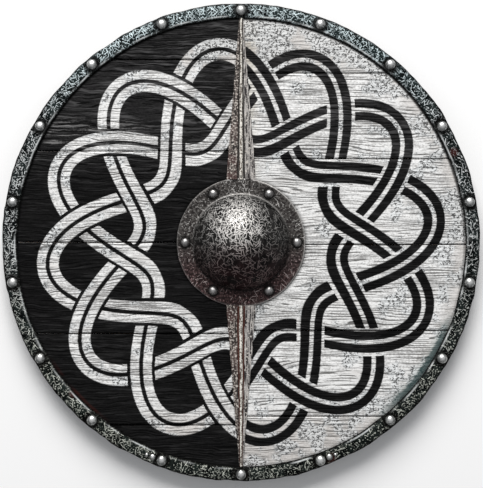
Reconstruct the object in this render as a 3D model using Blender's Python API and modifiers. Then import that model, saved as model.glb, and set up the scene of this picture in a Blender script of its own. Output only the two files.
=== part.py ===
"""Round wooden shield, lying on its back: two half discs of painted planks, a steel rim and boss
held by domed rivets, a carved spine up and down the face, and a grip bar between two battens behind.

Lengths are in metres. The face looks up along +Z and the top of the shield points along +Y. The
origin is under the shield's centre, on the surface that the grip bar and the battens lie on.
"""

import math

import bmesh
import bpy
from mathutils import Matrix, Vector

# The gap that neighbouring solids keep
CLEARANCE = 0.0003

# Board: each half disc has its own edge planks, top and bottom, so the joints don't meet in the middle
SHIELD_DIAMETER = 0.610
BOARD_THICKNESS = 0.012
LEFT_EDGE_PLANKS = (0.0705, 0.0705)
RIGHT_EDGE_PLANKS = (0.0875, 0.0815)
MIDDLE_PLANKS = 4
PLANK_GAP = 0.0006
PLANK_CHAMFER = 0.0012
HAND_HOLE_LEDGE = 0.0045

# Rim: a steel channel in three strips, each starting just before one of the rivets
RIM_WIDTH = 0.019
RIM_SHEET = 0.0012
RIM_CORNER_RADIUS = 0.003
RIM_RIVET_COUNT = 18
STRIP_FIRST_RIVETS = (4, 9, 15)
STRIP_END_TO_RIVET = 0.0105
STRIP_GAP = 0.0004

# Boss: a domed steel cup with a flat flange over the hand hole
BOSS_DIAMETER = 0.164
DOME_DIAMETER = 0.120
DOME_HEIGHT = 0.050
NECK_HEIGHT = 0.006
BOSS_SHEET = 0.0015
BOSS_FILLET_RADIUS = 0.003
BOSS_RIVET_COUNT = 6

# Rivets run right through and are headed over behind; nails stop in the board
RIM_RIVET_HEAD = 0.014
BOSS_RIVET_HEAD = 0.013
RIVET_HEAD_HEIGHT = 0.005
RIVET_SHANK = 0.005
RIVET_TAIL = 0.010
RIVET_TAIL_HEIGHT = 0.0022
NAIL_HEADS = (0.009, 0.005)
NAIL_HEAD_HEIGHT = 0.0028
NAIL_SHANK = 0.0024
NAIL_LENGTH = 0.0085
NAIL_HEAD_GAP = 0.001
NAIL_SHOULDER = 0.7
NAIL_POINT_START = 0.75
NAILED_RIVETS = ((8, -1), (10, 1))

# Spine: a tapering strip with a ridge between two grooves, widest at the boss
SPINE_WIDTH_AT_BOSS = 0.038
SPINE_WIDTH_AT_RIM = 0.0052
GROOVES_WIDTH_AT_BOSS = 0.0105
GROOVES_WIDTH_AT_RIM = 0.0040
RIDGE_WIDTH_AT_BOSS = 0.0050
RIDGE_WIDTH_AT_RIM = 0.0026
RIDGE_CREST_WIDTH = 0.0012
WING_HEIGHT_AT_BOSS = 0.0035
WING_HEIGHT_AT_RIM = 0.0022
RIDGE_HEIGHT_AT_BOSS = 0.0065
RIDGE_HEIGHT_AT_RIM = 0.0040
GROOVE_FLOOR_HEIGHT = 0.0010
WING_EDGE_SHARE = 0.35
SPINE_END_GAP = 0.0006

# Back: the bars that hold the planks together, the middle one thickest at the hand
BAR_DEPTH = 0.016
GRIP_BAR_WIDTH = 0.032
GRIP_BAR_END_WIDTH = 0.022
GRIP_LENGTH = 0.120
BATTEN_WIDTH = 0.034
BATTEN_OFFSET = 0.150
BAR_END_GAP = 0.004
BAR_CHAMFER = 0.0025

# Facets of the round solids
RIM_FACETS = 72
BOSS_FACETS = 32
HAND_HOLE_FACETS = 32
RIVET_FACETS = 8
NAIL_FACETS = 8
HOLE_FACETS = 8
DOME_ARC_STEPS = 6
FILLET_ARC_STEPS = 2
RIM_CORNER_ARC_STEPS = 1
RIVET_DOME_ANGLES = (0, 30, 60, 90)
SECTOR_STEP = 45
SHARP_EDGE = 40
CUTTER_OVERHANG = 0.010

SHIELD_RADIUS = SHIELD_DIAMETER / 2
BOARD_RADIUS = SHIELD_RADIUS - RIM_SHEET - CLEARANCE
BOARD_BACK = BAR_DEPTH + CLEARANCE
BOARD_FRONT = BOARD_BACK + BOARD_THICKNESS
RIM_INNER_RADIUS = SHIELD_RADIUS - RIM_WIDTH
RIM_RIVET_RADIUS = SHIELD_RADIUS - RIM_WIDTH / 2
RIM_TOP = BOARD_FRONT + CLEARANCE + RIM_SHEET
RIM_BOTTOM = BOARD_BACK - CLEARANCE - RIM_SHEET
BOSS_RADIUS = BOSS_DIAMETER / 2
DOME_RADIUS = DOME_DIAMETER / 2
FLANGE_BOTTOM = BOARD_FRONT + CLEARANCE
FLANGE_TOP = FLANGE_BOTTOM + BOSS_SHEET
BOSS_RIVET_RADIUS = (BOSS_RADIUS + DOME_RADIUS) / 2
HAND_HOLE_RADIUS = DOME_RADIUS - BOSS_SHEET - HAND_HOLE_LEDGE
SPINE_INNER_RADIUS = BOSS_RADIUS + SPINE_END_GAP
SPINE_OUTER_RADIUS = RIM_INNER_RADIUS - SPINE_END_GAP
RIVET_HOLE_RADIUS = RIVET_SHANK / 2 + CLEARANCE
NAIL_HOLE_RADIUS = NAIL_SHANK / 2 + CLEARANCE
NAIL_RADIUS = RIM_RIVET_RADIUS


def clear_scene():
    for obj in list(bpy.data.objects):
        bpy.data.objects.remove(obj)


def material(name, colour, roughness, metallic=0.0):
    made = bpy.data.materials.new(name)
    made.use_nodes = True
    made.diffuse_color = (*colour, 1.0)
    shader = made.node_tree.nodes["Principled BSDF"]
    shader.inputs["Base Color"].default_value = (*colour, 1.0)
    shader.inputs["Roughness"].default_value = roughness
    shader.inputs["Metallic"].default_value = metallic
    return made


def collection(name):
    made = bpy.data.collections.new(name)
    bpy.context.scene.collection.children.link(made)
    return made


def mesh_of(name, bm):
    mesh = bpy.data.meshes.new(name)
    bm.to_mesh(mesh)
    bm.free()
    return mesh


def place(name, data, where, finish=None):
    obj = bpy.data.objects.new(name, data)
    where.objects.link(obj)
    if finish:
        data.materials.clear()
        data.materials.append(finish)
    return obj


def as_cutter(obj):
    obj.hide_render = True
    obj.display_type = "WIRE"
    return obj


def cut(obj, cutter, operation="DIFFERENCE"):
    modifier = obj.modifiers.new(f"{operation.lower()} {cutter.name}", "BOOLEAN")
    modifier.operation = operation
    modifier.object = cutter
    return obj


def clock_point(radius, angle, height=0.0):
    """The point at this angle in radians, clockwise from the top of the shield."""
    return Vector((radius * math.sin(angle), radius * math.cos(angle), height))


def cylinder_mesh(name, radius, low, high, facets):
    bm = bmesh.new()
    bmesh.ops.create_cone(
        bm, cap_ends=True, segments=facets, radius1=radius, radius2=radius, depth=high - low,
        matrix=Matrix.Translation((0, 0, (low + high) / 2)),
    )
    return mesh_of(name, bm)


def profile_mesh(name, points, closed=False):
    """Points (radius, height) as a chain of edges in the XZ plane."""
    bm = bmesh.new()
    verts = [bm.verts.new((radius, 0, height)) for radius, height in points]
    for first, second in zip(verts, verts[1:]):
        bm.edges.new((first, second))
    if closed:
        bm.edges.new((verts[-1], verts[0]))
    return mesh_of(name, bm)


def turn(obj, facets):
    screw = obj.modifiers.new("turn", "SCREW")
    screw.axis = "Z"
    screw.angle = math.tau
    screw.steps = screw.render_steps = facets
    screw.use_merge_vertices = True
    screw.merge_threshold = 0.00001
    screw.use_smooth_shade = True
    return obj


def arc(centre, radius, start, end, steps):
    """Points (radius, height) along an arc; its angles are in degrees from +X towards +Z."""
    angles = [math.radians(start + (end - start) * i / steps) for i in range(steps + 1)]
    return [(centre[0] + radius * math.cos(a), centre[1] + radius * math.sin(a)) for a in angles]


def ease_edges(obj, width):
    bevel = obj.modifiers.new("eased edges", "BEVEL")
    bevel.width = width
    bevel.segments = 1
    bevel.limit_method = "ANGLE"
    bevel.angle_limit = math.radians(SHARP_EDGE)
    return obj


def joint_heights(edge_planks):
    """Where the planks of one half meet, from the top down: the middle planks share what's left."""
    top = BOARD_RADIUS - edge_planks[0]
    bottom = edge_planks[1] - BOARD_RADIUS
    return [top + (bottom - top) * row / MIDDLE_PLANKS for row in range(MIDDLE_PLANKS + 1)]


def plank_mesh(name, side, low, high):
    """A box from the middle joint out past the edge of the board. side is -1 left, 1 right."""
    inner = PLANK_GAP / 2
    outer = BOARD_RADIUS + CUTTER_OVERHANG
    size = Vector((outer - inner, high - low, BOARD_THICKNESS))
    centre = Vector((side * (inner + outer) / 2, (low + high) / 2, BOARD_BACK + BOARD_THICKNESS / 2))
    bm = bmesh.new()
    bmesh.ops.create_cube(bm, size=1.0, matrix=Matrix.Translation(centre) @ Matrix.Diagonal((*size, 1)))
    return mesh_of(name, bm)


def board_disc(where):
    """The outline that all planks are cut to, eased at both faces to sit in the rim's corners."""
    ease = RIM_CORNER_RADIUS - RIM_SHEET
    beyond = ease + CUTTER_OVERHANG
    profile = [
        (0, BOARD_FRONT + CUTTER_OVERHANG),
        (BOARD_RADIUS - beyond, BOARD_FRONT + CUTTER_OVERHANG),
        (BOARD_RADIUS, BOARD_FRONT - ease),
        (BOARD_RADIUS, BOARD_BACK + ease),
        (BOARD_RADIUS - beyond, BOARD_BACK - CUTTER_OVERHANG),
        (0, BOARD_BACK - CUTTER_OVERHANG),
    ]
    disc = as_cutter(place("board_disc", profile_mesh("board_disc", profile), where))
    return turn(disc, RIM_FACETS)


def half_board(label, side, edge_planks, where, finish, disc, hand_hole, holes):
    joints = joint_heights(edge_planks)
    edge = BOARD_RADIUS + CUTTER_OVERHANG
    tops = [edge, *(joint - PLANK_GAP / 2 for joint in joints)]
    bottoms = [*(joint + PLANK_GAP / 2 for joint in joints), -edge]
    for number, (high, low) in enumerate(zip(tops, bottoms), start=1):
        name = f"plank_{label}_{number}"
        plank = place(name, plank_mesh(name, side, low, high), where, finish)
        ease_edges(plank, PLANK_CHAMFER)
        cut(plank, disc, "INTERSECT")
        if low < HAND_HOLE_RADIUS and high > -HAND_HOLE_RADIUS:
            cut(plank, hand_hole)
        cut(plank, holes)


def rim_profile():
    """The channel's section, from the front flange's inner edge out, down and back inside."""
    corner = SHIELD_RADIUS - RIM_CORNER_RADIUS
    top = (corner, RIM_TOP - RIM_CORNER_RADIUS)
    bottom = (corner, RIM_BOTTOM + RIM_CORNER_RADIUS)
    inside = RIM_CORNER_RADIUS - RIM_SHEET
    return [
        (RIM_INNER_RADIUS, RIM_TOP),
        *arc(top, RIM_CORNER_RADIUS, 90, 0, RIM_CORNER_ARC_STEPS),
        *arc(bottom, RIM_CORNER_RADIUS, 0, -90, RIM_CORNER_ARC_STEPS),
        (RIM_INNER_RADIUS, RIM_BOTTOM),
        (RIM_INNER_RADIUS, RIM_BOTTOM + RIM_SHEET),
        *arc(bottom, inside, -90, 0, RIM_CORNER_ARC_STEPS),
        *arc(top, inside, 0, 90, RIM_CORNER_ARC_STEPS),
        (RIM_INNER_RADIUS, RIM_TOP - RIM_SHEET),
    ]


def rim_rivet_angle(index):
    return math.tau * index / RIM_RIVET_COUNT


def sector_mesh(name, start, end):
    """A wedge of pie between two clock angles, taller and wider than the rim."""
    reach = 2 * SHIELD_RADIUS
    steps = math.ceil((end - start) / math.radians(SECTOR_STEP))
    angles = [start + (end - start) * i / steps for i in range(steps + 1)]
    low, high = RIM_BOTTOM - CUTTER_OVERHANG, RIM_TOP + CUTTER_OVERHANG
    bm = bmesh.new()
    corners = [Vector((0, 0, low)), *(clock_point(reach, a, low) for a in angles)]
    floor = bm.faces.new([bm.verts.new(corner) for corner in corners])
    raised = bmesh.ops.extrude_face_region(bm, geom=[floor])["geom"]
    lifted = [part for part in raised if isinstance(part, bmesh.types.BMVert)]
    bmesh.ops.translate(bm, vec=(0, 0, high - low), verts=lifted)
    bmesh.ops.recalc_face_normals(bm, faces=bm.faces)
    return mesh_of(name, bm)


def rim_strips(where, helpers, finish, holes):
    count = len(STRIP_FIRST_RIVETS)
    before_rivet = STRIP_END_TO_RIVET / RIM_RIVET_RADIUS
    half_gap = STRIP_GAP / 2 / RIM_INNER_RADIUS
    starts = [rim_rivet_angle(index) - before_rivet for index in STRIP_FIRST_RIVETS]
    for number in range(count):
        start = starts[number] + half_gap
        end = starts[(number + 1) % count] - half_gap
        if end < start:
            end += math.tau
        name = f"rim_strip_{number + 1}"
        sector_name = f"sector_{number + 1}"
        sector = as_cutter(place(sector_name, sector_mesh(sector_name, start, end), helpers))
        strip = place(name, profile_mesh(name, rim_profile(), closed=True), where, finish)
        turn(strip, RIM_FACETS)
        cut(strip, sector, "INTERSECT")
        cut(strip, holes)


def boss_profile():
    """The cup's section, down the outside from the crown to the flange and back up the inside."""
    crown = BOARD_FRONT + DOME_HEIGHT
    neck_top = FLANGE_TOP + NECK_HEIGHT
    bend = (DOME_RADIUS + BOSS_FILLET_RADIUS, FLANGE_TOP + BOSS_FILLET_RADIUS)

    def dome(inset):
        steps = [math.radians(90 * i / DOME_ARC_STEPS) for i in range(DOME_ARC_STEPS + 1)]
        radius, rise = DOME_RADIUS - inset, crown - inset - neck_top
        return [(radius * math.sin(a), neck_top + rise * math.cos(a)) for a in steps]

    return [
        *dome(0),
        *arc(bend, BOSS_FILLET_RADIUS, 180, 270, FILLET_ARC_STEPS),
        (BOSS_RADIUS, FLANGE_TOP),
        (BOSS_RADIUS, FLANGE_BOTTOM),
        *arc(bend, BOSS_FILLET_RADIUS + BOSS_SHEET, 270, 180, FILLET_ARC_STEPS),
        *reversed(dome(BOSS_SHEET)),
    ]


def rivet_profile(head, grip):
    """A rivet with its head's underside at height 0 and its tail below the grip length."""
    radius, shank, tail = head / 2, RIVET_SHANK / 2, RIVET_TAIL / 2
    dome = [(radius * math.sin(math.radians(a)), RIVET_HEAD_HEIGHT * math.cos(math.radians(a)))
            for a in RIVET_DOME_ANGLES]
    return [
        *dome,
        (shank, 0),
        (shank, -grip),
        (tail, -grip),
        (0, -grip - RIVET_TAIL_HEIGHT),
    ]


def nail_profile(head):
    radius, shank = head / 2, NAIL_SHANK / 2
    return [
        (0, NAIL_HEAD_HEIGHT),
        (radius * NAIL_SHOULDER, NAIL_HEAD_HEIGHT * NAIL_SHOULDER),
        (radius, 0),
        (shank, 0),
        (shank, -NAIL_LENGTH * NAIL_POINT_START),
        (0, -NAIL_LENGTH),
    ]


def nail_angles():
    """(clock angle, head diameter) of each small nail, outwards from the rivet that it stands by."""
    found = []
    for index, direction in NAILED_RIVETS:
        along = RIM_RIVET_HEAD / 2
        for head in NAIL_HEADS:
            along += NAIL_HEAD_GAP + head / 2
            found.append((rim_rivet_angle(index) + direction * along / NAIL_RADIUS, head))
            along += head / 2
    return found


def rivets(where, finish):
    """Domed rivets round the rim and the boss, with their heads just clear of the steel."""
    sets = (
        ("rim", RIM_RIVET_COUNT, 0.0, RIM_RIVET_RADIUS, RIM_RIVET_HEAD,
         RIM_TOP + CLEARANCE, RIM_BOTTOM - CLEARANCE),
        ("boss", BOSS_RIVET_COUNT, math.radians(90), BOSS_RIVET_RADIUS, BOSS_RIVET_HEAD,
         FLANGE_TOP + CLEARANCE, BOARD_BACK - CLEARANCE),
    )
    for label, count, first, radius, head, seat, back in sets:
        shape = profile_mesh(f"{label}_rivet", rivet_profile(head, seat - back))
        for index in range(count):
            rivet = place(f"{label}_rivet_{index + 1:02d}", shape, where, finish)
            rivet.location = clock_point(radius, first + math.tau * index / count, seat)
            turn(rivet, RIVET_FACETS)


def nails(where, finish):
    for number, (angle, head) in enumerate(nail_angles(), start=1):
        name = f"rim_nail_{number}"
        nail = place(name, profile_mesh(name, nail_profile(head)), where, finish)
        nail.location = clock_point(NAIL_RADIUS, angle, RIM_TOP + CLEARANCE)
        turn(nail, NAIL_FACETS)


def hole_cutter(where):
    """One cylinder for each rivet, right through, and one for each nail, as deep as the nail."""
    bm = bmesh.new()
    top = FLANGE_TOP + RIM_SHEET + CUTTER_OVERHANG
    through = RIM_BOTTOM - CUTTER_OVERHANG / 2
    nail_floor = RIM_TOP - NAIL_LENGTH - CLEARANCE
    rim = [(clock_point(RIM_RIVET_RADIUS, rim_rivet_angle(i)), RIVET_HOLE_RADIUS, through)
           for i in range(RIM_RIVET_COUNT)]
    boss = [(clock_point(BOSS_RIVET_RADIUS, math.radians(90) + math.tau * i / BOSS_RIVET_COUNT),
             RIVET_HOLE_RADIUS, through) for i in range(BOSS_RIVET_COUNT)]
    small = [(clock_point(NAIL_RADIUS, angle), NAIL_HOLE_RADIUS, nail_floor)
             for angle, _head in nail_angles()]
    for place_at, radius, low in (*rim, *boss, *small):
        bmesh.ops.create_cone(
            bm, cap_ends=True, segments=HOLE_FACETS, radius1=radius, radius2=radius, depth=top - low,
            matrix=Matrix.Translation(place_at + Vector((0, 0, (top + low) / 2))),
        )
    return as_cutter(place("rivet_holes", mesh_of("rivet_holes", bm), where))


def spine_section(width, grooves, ridge, wing_height, ridge_height):
    """Half of the spine's section, from the outer foot to the crest: (offset, height)."""
    edge = wing_height * WING_EDGE_SHARE
    return [
        (width / 2, 0),
        (width / 2, wing_height - edge),
        (width / 2 - min(edge, (width - grooves) / 4), wing_height),
        (grooves / 2, wing_height),
        (ridge / 2, GROOVE_FLOOR_HEIGHT),
        (RIDGE_CREST_WIDTH / 2, ridge_height),
    ]


def spine_mesh():
    """The strip up the face, lofted from its wide section at the boss to its tip at the rim."""
    stations = (
        (SPINE_INNER_RADIUS - CUTTER_OVERHANG, spine_section(
            SPINE_WIDTH_AT_BOSS, GROOVES_WIDTH_AT_BOSS, RIDGE_WIDTH_AT_BOSS,
            WING_HEIGHT_AT_BOSS, RIDGE_HEIGHT_AT_BOSS)),
        (SPINE_OUTER_RADIUS + CUTTER_OVERHANG, spine_section(
            SPINE_WIDTH_AT_RIM, GROOVES_WIDTH_AT_RIM, RIDGE_WIDTH_AT_RIM,
            WING_HEIGHT_AT_RIM, RIDGE_HEIGHT_AT_RIM)),
    )
    foot = BOARD_FRONT + CLEARANCE
    bm = bmesh.new()
    rings = []
    for along, half in stations:
        outline = [*half, *((-offset, height) for offset, height in reversed(half))]
        rings.append([bm.verts.new((offset, along, foot + height)) for offset, height in outline])
    near, far = rings
    count = len(near)
    for i in range(count):
        j = (i + 1) % count
        bm.faces.new((near[i], near[j], far[j], far[i]))
    bm.faces.new(near)
    bm.faces.new(far)
    bmesh.ops.recalc_face_normals(bm, faces=bm.faces)
    return mesh_of("spine", bm)


def spines(where, helpers, finish):
    low, high = BOARD_FRONT - CUTTER_OVERHANG, BOARD_FRONT + RIDGE_HEIGHT_AT_BOSS + CUTTER_OVERHANG
    seat = cylinder_mesh("boss_seat", SPINE_INNER_RADIUS, low, high, BOSS_FACETS)
    field = cylinder_mesh("field", SPINE_OUTER_RADIUS, low, high, RIM_FACETS)
    boss_seat = as_cutter(place("boss_seat", seat, helpers))
    open_field = as_cutter(place("open_field", field, helpers))
    shape = spine_mesh()
    for name, turned_by in (("spine_upper", 0.0), ("spine_lower", math.pi)):
        spine = place(name, shape, where, finish)
        spine.rotation_euler.z = turned_by
        cut(spine, boss_seat)
        cut(spine, open_field, "INTERSECT")


def bar(name, outline, where, finish):
    """A bar lying flat on the back of the board, cut to a closed outline of (x, y) points."""
    data = bpy.data.curves.new(name, "CURVE")
    data.dimensions = "2D"
    data.fill_mode = "BOTH"
    data.extrude = BAR_DEPTH / 2
    spline = data.splines.new("POLY")
    spline.points.add(len(outline) - 1)
    for point, (x, y) in zip(spline.points, outline):
        point.co = (x, y, 0, 1)
    spline.use_cyclic_u = True
    made = place(name, data, where, finish)
    made.location.z = BAR_DEPTH / 2
    weld = made.modifiers.new("close the caps", "WELD")
    weld.merge_threshold = 0.00001
    ease_edges(made, BAR_CHAMFER)
    return made


def mirrored(quarter):
    """A quarter outline, from the side out to the end, repeated in the other three quarters."""
    right = [*((x, -y) for x, y in reversed(quarter)), *quarter]
    return [*right, *((-x, y) for x, y in reversed(right))]


def reach_within_rim(offset):
    """How far up from the middle a bar can run at this distance from the centre line."""
    return math.sqrt(RIM_INNER_RADIUS ** 2 - offset ** 2) - BAR_END_GAP


def back_bars(where, finish):
    end = reach_within_rim(GRIP_BAR_END_WIDTH / 2)
    grip = [(GRIP_BAR_WIDTH / 2, GRIP_LENGTH / 2), (GRIP_BAR_END_WIDTH / 2, end)]
    bar("grip_bar", mirrored(grip), where, finish)
    half = BATTEN_WIDTH / 2
    corner = [(half, reach_within_rim(BATTEN_OFFSET + half))]
    for name, side in (("batten_left", -1), ("batten_right", 1)):
        batten = bar(name, mirrored(corner), where, finish)
        batten.location.x = side * BATTEN_OFFSET


def main():
    clear_scene()
    shield = collection("round_shield")
    helpers = collection("cutters")

    black_paint = material("black painted plank", (0.020, 0.020, 0.021), 0.55)
    white_paint = material("white painted plank", (0.62, 0.60, 0.59), 0.65)
    rim_steel = material("rim steel", (0.16, 0.18, 0.18), 0.42, 1.0)
    boss_steel = material("boss steel", (0.20, 0.19, 0.19), 0.40, 1.0)
    rivet_steel = material("rivet steel", (0.34, 0.35, 0.35), 0.28, 1.0)
    spine_wood = material("spine wood", (0.23, 0.18, 0.16), 0.60)
    bare_wood = material("bare wood", (0.33, 0.23, 0.15), 0.60)

    low, high = BOARD_BACK - CUTTER_OVERHANG, BOARD_FRONT + CUTTER_OVERHANG
    disc = board_disc(helpers)
    hand_hole = as_cutter(place(
        "hand_hole", cylinder_mesh("hand_hole", HAND_HOLE_RADIUS, low, high, HAND_HOLE_FACETS), helpers))
    holes = hole_cutter(helpers)

    half_board("left", -1, LEFT_EDGE_PLANKS, shield, black_paint, disc, hand_hole, holes)
    half_board("right", 1, RIGHT_EDGE_PLANKS, shield, white_paint, disc, hand_hole, holes)
    rim_strips(shield, helpers, rim_steel, holes)
    boss = place("boss", profile_mesh("boss", boss_profile()), shield, boss_steel)
    turn(boss, BOSS_FACETS)
    cut(boss, holes)
    rivets(shield, rivet_steel)
    nails(shield, rivet_steel)
    spines(shield, helpers, spine_wood)
    back_bars(shield, bare_wood)


main()
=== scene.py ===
# %% [markdown]
# # A painted plank shield
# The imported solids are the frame: they say where each piece is and how big it is.
# This notebook dresses them. It builds finer planks, rim, boss, spines, rivets and bars
# on the same places, paints them, and then lights them for a camera that looks straight
# down on the shield lying on its back.

# %% Load the frame
import math

import bmesh
import bpy
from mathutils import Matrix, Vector, noise


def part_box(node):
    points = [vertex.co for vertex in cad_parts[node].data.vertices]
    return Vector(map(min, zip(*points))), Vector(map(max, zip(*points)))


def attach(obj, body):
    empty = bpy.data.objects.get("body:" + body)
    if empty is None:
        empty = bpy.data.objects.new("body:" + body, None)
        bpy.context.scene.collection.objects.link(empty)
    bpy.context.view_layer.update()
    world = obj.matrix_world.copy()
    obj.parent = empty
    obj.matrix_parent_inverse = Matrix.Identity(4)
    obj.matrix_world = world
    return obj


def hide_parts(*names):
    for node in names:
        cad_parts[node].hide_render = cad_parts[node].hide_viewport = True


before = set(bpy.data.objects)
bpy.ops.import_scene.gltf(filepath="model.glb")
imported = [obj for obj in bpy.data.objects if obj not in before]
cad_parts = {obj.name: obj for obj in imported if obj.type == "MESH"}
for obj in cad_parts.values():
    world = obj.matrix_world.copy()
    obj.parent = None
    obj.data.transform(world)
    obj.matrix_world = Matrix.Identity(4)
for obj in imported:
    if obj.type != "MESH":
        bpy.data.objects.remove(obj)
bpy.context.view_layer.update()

# %% [markdown]
# ## Sums made of nodes
# Materials here are worked out by nodes, and so are the planks and the rivets. Wiring
# them by hand in the editor would do as well, but a long sum of Math nodes is hard to
# read there. So a small class lets a wire be added and multiplied like a number, and
# each sign in a sum becomes one Math node. Shader trees and geometry trees share these
# nodes, so one set of helpers writes both.

# %% A wire that counts like a number
class Wire:
    """An output socket of a node that adds and multiplies like a number."""

    def __init__(self, socket):
        self.socket = socket
        self.tree = socket.id_data

    def __add__(self, other):
        return calc("ADD", self, other)

    def __sub__(self, other):
        return calc("SUBTRACT", self, other)

    def __rsub__(self, other):
        return calc("SUBTRACT", other, self)

    def __mul__(self, other):
        return calc("MULTIPLY", self, other)

    def __truediv__(self, other):
        return calc("DIVIDE", self, other)

    def __abs__(self):
        return calc("ABSOLUTE", self)

    __radd__ = __add__
    __rmul__ = __mul__


def tree_of(*values):
    """The tree of the first wire among the values."""
    return next(value.tree for value in values if isinstance(value, Wire))


# %% Helpers that add nodes
def feed(socket, value):
    """Links a wire to an input socket, or sets the input to a plain value."""
    if isinstance(value, Wire):
        value.tree.links.new(value.socket, socket)
    else:
        socket.default_value = value


def add(tree, kind, inputs=None, **settings):
    """Adds a node, sets its properties, then its inputs by name or number."""
    node = tree.nodes.new(kind)
    for name, value in settings.items():
        setattr(node, name, value)
    for name, value in (inputs or {}).items():
        feed(node.inputs[name], value)
    return node


def made(tree, kind, inputs=None, **settings):
    """Adds a node and gives its first output."""
    return Wire(add(tree, kind, inputs, **settings).outputs[0])


def wires(sockets):
    """Output sockets as wires, by name."""
    return {socket.name: Wire(socket) for socket in sockets}


def calc(operation, *values):
    """One Math node."""
    return made(tree_of(*values), "ShaderNodeMath", dict(enumerate(values)), operation=operation)


def largest(first, *others):
    """The largest of several values."""
    for other in others:
        first = calc("MAXIMUM", first, other)
    return first


def ramp(value, start, end, low=0.0, high=1.0):
    """Goes smoothly from low to high while value goes from start to end."""
    inputs = dict(enumerate((value, start, end, low, high)))
    return made(value.tree, "ShaderNodeMapRange", inputs, interpolation_type="SMOOTHSTEP")


def window(value, start, full, fade, end):
    """1 between full and fade, going smoothly to 0 at start and at end."""
    return ramp(value, start, full) * ramp(value, end, fade)


def xyz(x, y, z):
    """Puts three numbers together as a vector."""
    return made(tree_of(x, y, z), "ShaderNodeCombineXYZ", {0: x, 1: y, 2: z})


def parts_of(vector):
    """Takes a vector apart."""
    node = add(vector.tree, "ShaderNodeSeparateXYZ", {0: vector})
    return [Wire(socket) for socket in node.outputs]


def cloud(vector, scale=1.0, detail=2.0, roughness=0.5):
    """Noise from 0 to 1."""
    inputs = {"Vector": vector, "Scale": scale, "Detail": detail, "Roughness": roughness}
    return made(vector.tree, "ShaderNodeTexNoise", inputs)


def streaks(x, y, z, along, across, detail=1.0, roughness=0.5):
    """Noise with one scale along X and another along Y."""
    return cloud(xyz(x * along, y * across, z), 1.0, detail, roughness)


def blend(share, first, second, how="MIX"):
    """Mixes two colours."""
    inputs = {0: share, 6: first, 7: second}
    return Wire(add(share.tree, "ShaderNodeMix", inputs, data_type="RGBA", blend_type=how).outputs[2])


# %% Helpers that make and place groups
SHADER = "ShaderNodeTree"
GEOMETRY = "GeometryNodeTree"
VECTOR = "NodeSocketVector"
SHAPE = "NodeSocketGeometry"
MATERIAL = "NodeSocketMaterial"
NUMBERS = {float: "NodeSocketFloat", int: "NodeSocketInt"}


def new_group(name, kind, inputs, *outputs):
    """An empty group; an input is given by a number to start with, or by its kind of socket."""
    group = bpy.data.node_groups.new(name, kind)
    for title, given in inputs.items():
        socket_type = NUMBERS.get(type(given), given)
        socket = group.interface.new_socket(title, in_out="INPUT", socket_type=socket_type)
        if type(given) in NUMBERS:
            socket.default_value = given
    for title in outputs:
        socket_type = SHAPE if kind == GEOMETRY else NUMBERS[float]
        group.interface.new_socket(title, in_out="OUTPUT", socket_type=socket_type)
    entry = group.nodes.new("NodeGroupInput")
    end = group.nodes.new("NodeGroupOutput")
    return group, wires(entry.outputs), end.inputs


def placed(group, inputs):
    """Puts a shader group into the tree that its inputs come from and gives its outputs."""
    node = add(tree_of(*inputs.values()), "ShaderNodeGroup", node_tree=group)
    for name, value in inputs.items():
        feed(node.inputs[name], value)
    return wires(node.outputs)


def give(end, **values):
    """Feeds a group's outputs by name."""
    for name, value in values.items():
        feed(end[name], value)


# %% [markdown]
# ## Wood grain, one rule for shape and colour
# Old planks weather into long ridges, because soft wood wears away between the hard
# rings. The grain runs across the shield, so the noise is stretched far along X and
# squeezed along Y, and slow noises make the lines wander. The same rule is written into
# the geometry tree of the planks, where it lifts the surface, and into a shader group,
# where it colours the same ridges.

# %% The grain rule
GRAIN_WANDER = 0.009
GRAIN_RIPPLE = 0.0038
GRAIN_SHIVER = 0.0013
LINES_PER_METRE = 305.0
FULL_TURN = 2 * math.pi


def swing(x, y, seed, along, across, size):
    """A smooth wandering up and down by as much as size."""
    return (streaks(x, y, seed, along, across) - 0.5) * (2 * size)


def grain_rule(x, y, seed, waviness):
    """Broad ridges and thin grooves of the grain, both from 0 to 1, and the bent height."""
    ripple = swing(x, y, seed, 24.0, 36.0, GRAIN_RIPPLE) + swing(x, y, seed, 70.0, 90.0, GRAIN_SHIVER)
    bent = y + swing(x, y, seed, 3.2, 9.0, GRAIN_WANDER) + ripple * waviness
    ridges = streaks(x, bent, seed, 20.0, 250.0, 2.0, 0.6)
    drift = streaks(x, bent, seed, 9.0, 55.0)
    wave = calc("SINE", (bent * LINES_PER_METRE + drift * 6.0) * FULL_TURN)
    needles = streaks(x, bent, seed + 5.0, 23.0, 640.0)
    clusters = streaks(x, bent, seed + 9.0, 10.0, 42.0, 2.0)
    signal = wave * 0.25 + needles + clusters * 0.55
    return ridges, ramp(signal, 0.950, 1.000), bent


grain, entry, end = new_group(
    "wood_grain", SHADER, {"Vector": VECTOR, "Seed": 0.0, "Waviness": 1.0},
    "Ridges", "Lines", "Hairs", "Patches", "Speckle",
)
x, y, _ = parts_of(entry["Vector"])
seed = entry["Seed"]
ridges, lines, bent = grain_rule(x, y, seed, entry["Waviness"])
give(
    end, Ridges=ridges, Lines=lines, Hairs=streaks(x, bent, seed, 48.0, 640.0),
    Patches=streaks(x, y, seed, 9.0, 22.0, 3.0, 0.6), Speckle=streaks(x, y, seed, 420.0, 560.0),
)
print("wood_grain has", len(grain.nodes), "nodes")

# %% [markdown]
# ## Crackle
# Where paint has dried hard it breaks into small dark squiggles. Cells of a Voronoi
# pattern would look like dry mud. Here a squiggle is a contour line: the places where a
# smooth noise passes through its middle value. A second noise breaks the lines up, and
# a third keeps them in regions.

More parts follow.
